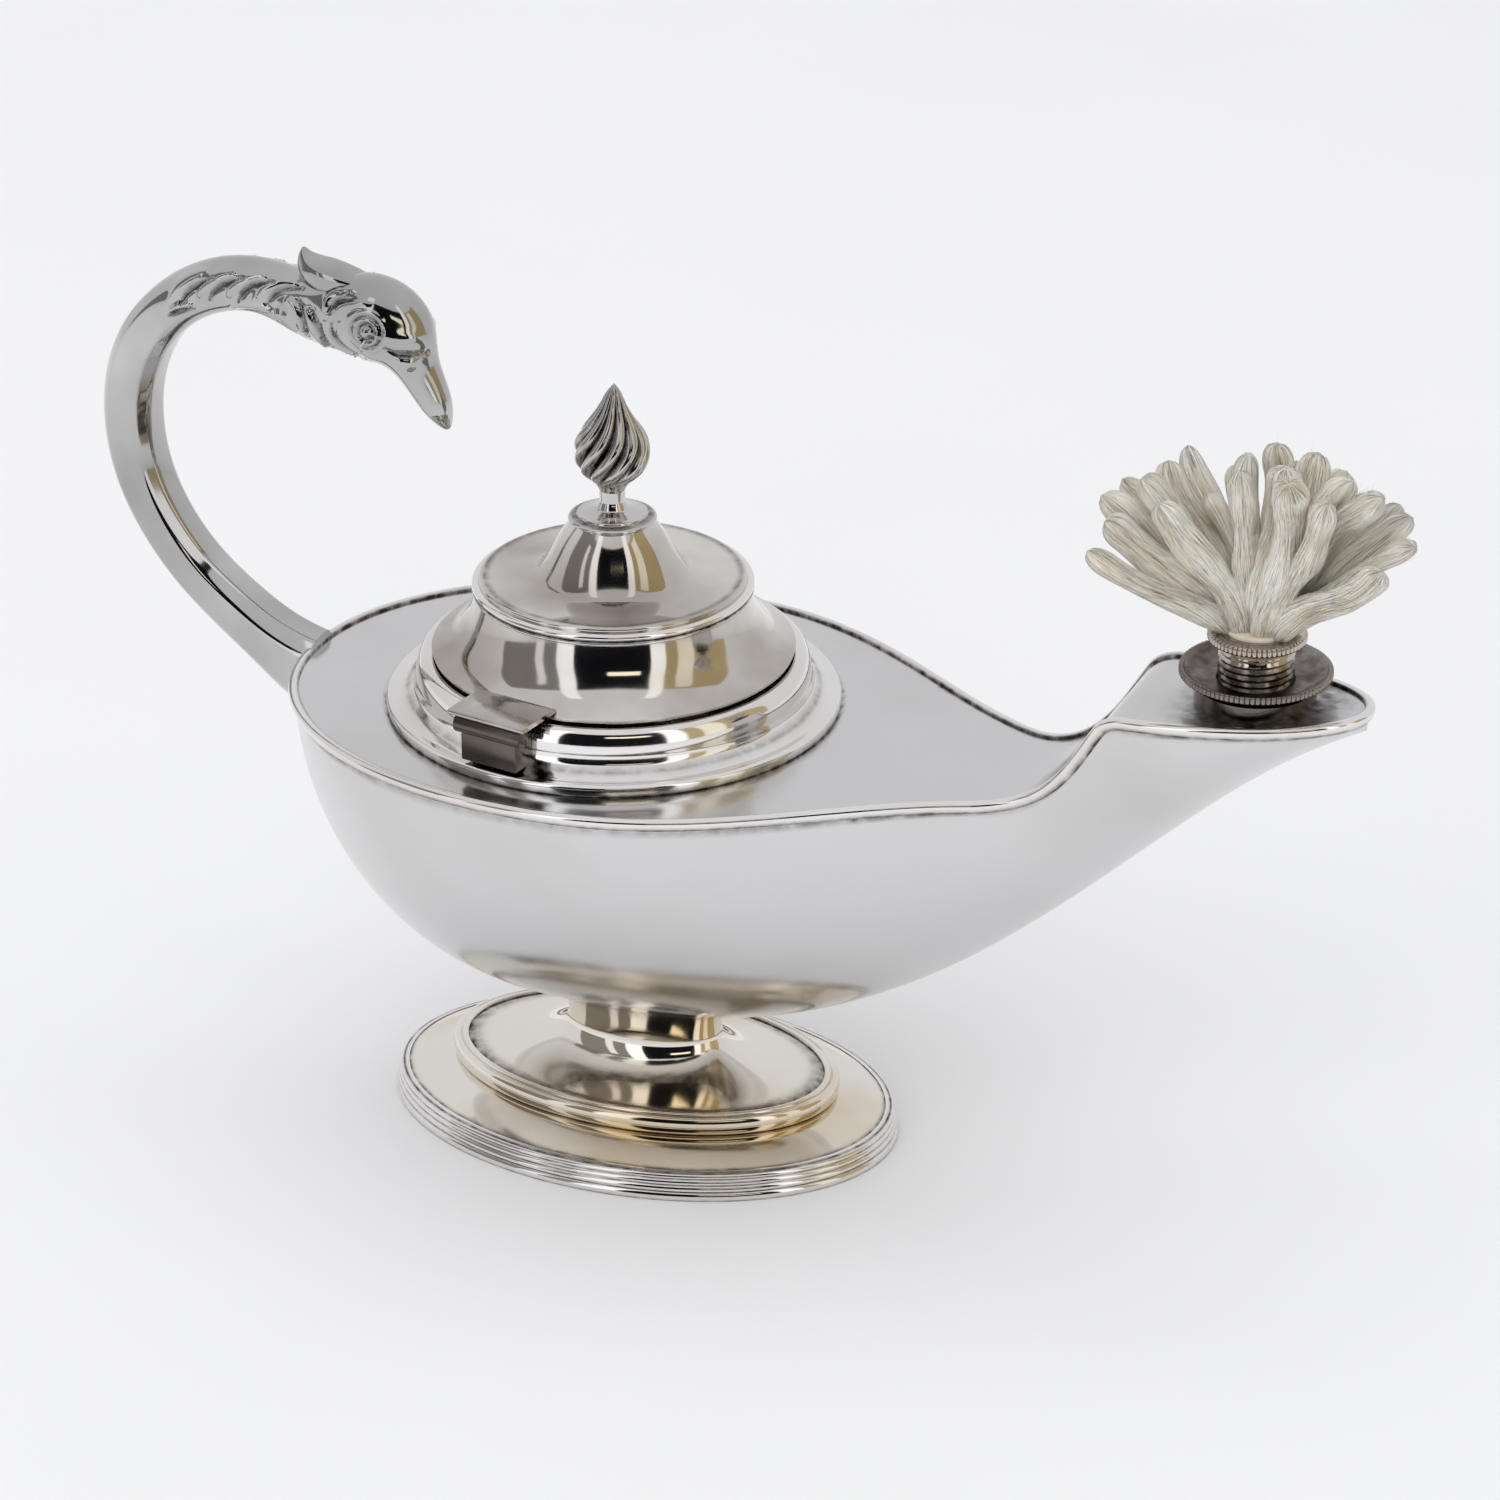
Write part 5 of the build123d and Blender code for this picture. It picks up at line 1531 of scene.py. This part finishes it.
    def neck(self) -> Shell:
        """The whole casting: a section carried along the station spline, then chased.

        A point is centre + side Y + outward N, moved along its section's outward direction by
        the sum of the marks, each a bell curve of the distance to its own small curve.

        Returns:
            The shell.
        """
        stations = np.array(self.stations)
        gaps = np.linalg.norm(np.diff(stations[:, :2], axis=0), axis=1)
        knots = np.concatenate([[0], np.cumsum(gaps)])
        knots /= knots[-1]
        u = np.linspace(0, 1, self.rows)
        u = u + 0.06 * np.sin(2 * math.pi * u) * u
        line = natural_spline(knots, stations, u)
        centre, high, wide = line[:, :2], line[:, 2], line[:, 3]
        ahead = np.gradient(centre, axis=0)
        ahead /= np.linalg.norm(ahead, axis=1, keepdims=True)
        outward = np.stack([-ahead[:, 1], ahead[:, 0]], -1)
        keystone, oval, head, bill = self.sections()
        to_oval = smooth_step(u, knots[9], knots[11])[:, None, None]
        to_head = smooth_step(u, knots[13], knots[14])[:, None, None]
        to_bill = smooth_step(u, knots[16], knots[17])[:, None, None]
        shape = keystone * (1 - to_oval) + oval * to_oval
        shape = shape * (1 - to_head) + head * to_head
        shape = shape * (1 - to_bill) + bill * to_bill
        left = (1 - u) * knots.size
        tip = np.sqrt(1 - (1 - np.clip(left / 0.75, 0, 1)) ** 2)
        side = shape[..., 0] * (wide * tip)[:, None]
        out = shape[..., 1] * (high * tip)[:, None]
        normal = np.stack([shape[..., 0] / wide[:, None], shape[..., 1] / high[:, None]], -1)
        normal /= np.maximum(np.linalg.norm(normal, axis=-1, keepdims=True), 1e-6)
        flat = centre[:, None] + outward[:, None] * out[..., None]
        lift, dirt_and_shade = self.chasing(flat, np.abs(shape[..., 0]))
        side = side + normal[..., 0] * lift
        out = out + normal[..., 1] * lift
        x = centre[:, 0, None] + outward[:, 0, None] * out
        z = centre[:, 1, None] + outward[:, 1, None] * out
        inside = LINES.rear_x + 0.55 + 0.02 * (LINES.deck_z - z) ** 2
        x = np.where((x > inside) & (z < LINES.deck_z + 3) & (u[:, None] < 0.1), np.minimum(x, inside), x)
        points = np.stack([x, side, z], -1)
        ends = [np.repeat(row.mean(0)[None, None], self.columns, 1) for row in (points[0], points[-1])]
        points = np.concatenate([ends[0], points, ends[1]])
        dirt_and_shade = np.concatenate([dirt_and_shade[:1], dirt_and_shade, dirt_and_shade[-1:]])
        return Shell(points, False, True, dirt_and_shade)

    def feather_marks(self) -> tuple:
        """Feathers in a row along the neck, each a raised leaf with a cut under it.

        A leaf rises from its start, a pitch on from the last, and its end sinks with the neck.

        Returns:
            The marks, each its kind and the three points of its curve.
        """
        marks = []
        for i in range(self.feathers):
            x = self.feather_start[0] + self.feather_pitch * i
            z = self.feather_start[1] + 0.26 * i * (6 - i)
            sink = 0.65 * i
            leaf = ((x, z), (x + 1.2, z + 3.1), (x + 5.5, z + 4.7 - sink))
            cut = tuple((a + 1.5, b - 0.7) for a, b in leaf)
            marks += [(Mark.LEAF, *leaf), (Mark.DEEP, *cut)]
        return tuple(marks)

    def chasing(self, flat: Array, beside: Array) -> tuple[Array, Array]:
        """Height and grime of the marks over the casting's side view.

        Args:
            flat: (x, z) of each point in side view.
            beside: Share of the section's half-width at each point.

        Returns:
            The height added at each point, and its grime share.
        """
        lift = np.zeros(flat.shape[:2])
        dirt_and_shade = np.zeros(flat.shape[:2])
        neck = flat[..., 0] < -52
        sideways = np.where(neck, smooth_step(beside, 0.4, 0.75), smooth_step(beside, 0.12, 0.42))
        rows = flat[:, :, 0].max(1) > -90
        rows &= flat[:, :, 1].max(1) > 108
        part = flat[rows]
        t = np.linspace(0, 1, 14)
        for kind, *curve in self.marks + self.feather_marks():
            height, width = kind.value
            line = bezier(curve, t)
            taper = width * (0.35 + 0.65 * np.sin(math.pi * np.clip(t, 0.05, 0.95)))
            away = np.linalg.norm(part[:, :, None] - line[None, None], axis=-1) / taper
            mark = np.exp(-(away.min(-1) ** 2))
            lift[rows] += height * mark
            if height < 0:
                dirt_and_shade[rows] += 0.9 * mark
        away = np.linalg.norm(flat - np.array(self.eye), axis=-1)
        ball = 0.95 * bell(away, 1.05) + 0.42 * bell(away - 2.05, 0.38) + 0.22 * bell(away - 3.1, 0.35)
        ring = 0.35 * bell(away - 1.35, 0.3) + 0.28 * bell(away - 2.5, 0.3)
        lift += ball - ring
        dirt_and_shade += 1.6 * ring
        return lift * sideways, np.clip(dirt_and_shade * sideways, 0, 1)

    def plume(self) -> Shell:
        """Crest on the crown: a flat leaf carried up and back to its curled tip.

        Returns:
            The crest's shell.
        """
        stations = np.array(self.crest)
        knots = np.linspace(0, 1, len(stations))
        u = np.linspace(0, 1, 60)
        line = natural_spline(knots, stations, u)
        ahead = np.gradient(line[:, :2], axis=0)
        ahead /= np.linalg.norm(ahead, axis=1, keepdims=True)
        outward = np.stack([-ahead[:, 1], ahead[:, 0]], -1)
        turn = np.linspace(0, 2 * math.pi, 40, endpoint=False)
        ends = np.maximum(np.sin(math.pi * u), 0.0) ** 0.3
        side = np.sin(turn)[None] * (line[:, 3] * ends)[:, None]
        dished = 0.25 * (np.cos(2 * turn) - 1)
        out = (np.cos(turn) + dished * (np.cos(turn) < 0))[None] * (line[:, 2] * ends)[:, None]
        x = line[:, 0, None] + outward[:, 0, None] * out
        z = line[:, 1, None] + outward[:, 1, None] * out
        return Shell(np.stack([x, side, z], -1), False, True, np.full((60, 40), 0.08))

    def build(self) -> None:
        """Builds the casting as one piece."""
        mesh = mesh_of("swan_casting", [self.neck(), self.plume()])
        add_piece("swan_casting", mesh, CAST_SILVER, "root", ["swan_handle"], 75)


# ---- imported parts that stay, and the studio -----------------------------------------------
def dress_packed_parts() -> None:
    """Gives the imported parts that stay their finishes."""
    dressed = {
        "lid_bezel": SILVER, "finial_nut": BRASS, "burner_seat": TARNISHED,
        "wick_core": ROVING, "wick_tail": ROVING,
    }
    for node, finish in dressed.items():
        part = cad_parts[node]
        part.data.materials.clear()
        part.data.materials.append(finish.material())
        log.info("%s keeps its packed shape in %s", node, finish.name)


@dataclass
class Studio:
    """Pale table, soft lights, the reflections' panels, and the camera."""

    azimuth: float = math.radians(23.0)
    elevation: float = math.radians(25.82)
    distance: float = 0.92
    aim_offset: tuple[float, float, float] = (0.0018, 0.0, -0.0029)
    lens: float = 146.5
    panel_distance: float = 2.2

    def direction(self, azimuth: float, elevation: float) -> Array:
        """Unit vector from the lamp at an azimuth from -Y towards +X and an elevation."""
        flat = math.cos(elevation)
        return np.array([math.sin(azimuth) * flat, -math.cos(azimuth) * flat, math.sin(elevation)])

    def camera(self, middle: Vector) -> None:
        """Long-lens camera that looks at a point beside the lamp's middle.

        Args:
            middle: The lamp's middle.
        """
        data = bpy.data.cameras.new("camera")
        data.lens = self.lens
        data.sensor_width = 36.0
        data.clip_end = 20.0
        camera = bpy.data.objects.new("camera", data)
        back = Vector(self.direction(self.azimuth, self.elevation))
        camera.location = middle + Vector(self.aim_offset) + back * self.distance
        camera.rotation_mode = "QUATERNION"
        camera.rotation_quaternion = (-back).to_track_quat("-Z", "Y")
        bpy.context.scene.collection.objects.link(camera)
        bpy.context.scene.camera = camera

    def table(self) -> None:
        """Plain pale table, matt, with a faint grain."""
        size = 3.0
        mesh = bpy.data.meshes.new("table")
        corners = [(-size, -size, 0.0), (size, -size, 0.0), (size, size, 0.0), (-size, size, 0.0)]
        mesh.from_pydata(corners, [], [(0, 1, 2, 3)])
        board = Board("pale_table")
        tone = board.span(board.noise(9.0, 3.0), 0.3, 0.7, 0.0, 1.0)
        paint = board.blend(tone, (0.93, 0.93, 0.925), (0.95, 0.95, 0.95))
        board.join(paint, board.shader.inputs["Base Color"])
        board.shader.inputs["Roughness"].default_value = 0.8
        mesh.materials.append(board.material)
        table = bpy.data.objects.new("table", mesh)
        bpy.context.scene.collection.objects.link(table)
        table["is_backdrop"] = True

    def panel(self, name: str, azimuths: tuple[float, float], elevations: tuple[float, float],
              colour: tuple[float, float, float], distance: float) -> None:
        """Curved panel seen only in the metal, between two azimuths and two elevations in degrees.

        Args:
            name: Name of the panel.
            azimuths: Its left and right edges, from the camera's azimuth.
            elevations: Its lower and upper edges.
            colour: Its brightness.
            distance: How far it stands from the lamp.
        """
        a = np.radians(np.linspace(*azimuths, 17)) + self.azimuth
        e = np.radians(np.linspace(*elevations, 9))
        aa, ee = np.meshgrid(a, e, indexing="ij")
        points = np.stack([np.sin(aa) * np.cos(ee), -np.cos(aa) * np.cos(ee), np.sin(ee)], -1) * distance
        mesh = mesh_of(name, [Shell(points / MM, False, False)], closed=False)
        material = bpy.data.materials.new(name)
        material.use_nodes = True
        tree = material.node_tree
        tree.nodes.clear()
        glow = tree.nodes.new("ShaderNodeEmission")
        glow.inputs["Color"].default_value = (*colour, 1.0)
        output = tree.nodes.new("ShaderNodeOutputMaterial")
        tree.links.new(glow.outputs[0], output.inputs["Surface"])
        mesh.materials.append(material)
        panel = bpy.data.objects.new(name, mesh)
        panel.visible_camera = False
        panel.visible_diffuse = False
        panel.visible_shadow = False
        bpy.context.scene.collection.objects.link(panel)
        panel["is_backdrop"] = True

    @staticmethod
    def soft_light(name: str, size: tuple[float, float], power: float, place: Vector,
                   back: Vector | None) -> None:
        """Soft rectangular light that the metal doesn't mirror.

        Args:
            name: Its name.
            size: Its two sides in metres.
            power: Its power in watts.
            place: Where it hangs.
            back: Direction from the lamp to the light, or None to shine straight down.
        """
        data = bpy.data.lights.new(name, "AREA")
        data.shape = "RECTANGLE"
        data.size, data.size_y = size
        data.energy = power
        light = bpy.data.objects.new(name, data)
        light.location = place
        if back is not None:
            light.rotation_mode = "QUATERNION"
            light.rotation_quaternion = (-back).to_track_quat("-Z", "Y")
        light.visible_glossy = False
        bpy.context.scene.collection.objects.link(light)

    def lights(self, middle: Vector) -> None:
        """Pale surroundings, a soft light above and one in front, and the panels in the metal.

        Args:
            middle: The lamp's middle.
        """
        world = bpy.data.worlds.new("studio")
        world.use_nodes = True
        world.node_tree.nodes["Background"].inputs["Color"].default_value = (0.90, 0.905, 0.93, 1.0)
        world.node_tree.nodes["Background"].inputs["Strength"].default_value = 0.84
        bpy.context.scene.world = world
        self.soft_light("overhead", (1.4, 1.4), 4.2, middle + Vector((-0.2, 0.1, 1.5)), None)
        back = Vector(self.direction(self.azimuth - 0.5, 0.75))
        self.soft_light("front_fill", (1.0, 0.8), 3.6, middle + back * 1.5, back)
        far = self.panel_distance
        self.panel("dark_window", (-30, 30), (-4, 46), (0.006, 0.007, 0.009), far)
        self.panel("window_bar", (-4, 22), (27, 33), (1.5, 1.4, 1.05), far - 0.1)
        self.panel("left_bright", (-44, -30), (-8, 60), (1.25, 1.27, 1.32), far)
        self.panel("right_bright", (30, 42), (-8, 60), (1.3, 1.3, 1.3), far)
        self.panel("left_dim", (-92, -44), (-8, 46), (0.25, 0.24, 0.23), far)
        self.panel("left_streak", (-62, -55), (-4, 40), (0.95, 0.93, 0.98), far - 0.1)
        self.panel("right_warm", (42, 96), (-8, 46), (0.50, 0.40, 0.22), far)
        self.panel("right_streak", (52, 66), (0, 44), (0.98, 0.93, 0.78), far - 0.1)

    def build(self, middle: Vector) -> None:
        """Builds the camera, the table and the lights round the lamp's middle.

        Args:
            middle: The lamp's middle.
        """
        self.camera(middle)
        self.table()
        self.lights(middle)
        bpy.context.scene.view_settings.view_transform = "Standard"


def main() -> None:
    """Builds the lamp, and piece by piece."""
    logging.basicConfig(level=logging.INFO, format="%(message)s")
    cad_low, cad_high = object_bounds()
    Studio().build((cad_low + cad_high) / 2)
    Foot().build()
    Bowl().build()
    Lid().build()
    Hinge().build()
    Burner().build()
    Wick().build()
    Handle().build()
    dress_packed_parts()


if __name__ == "__main__":
    main()
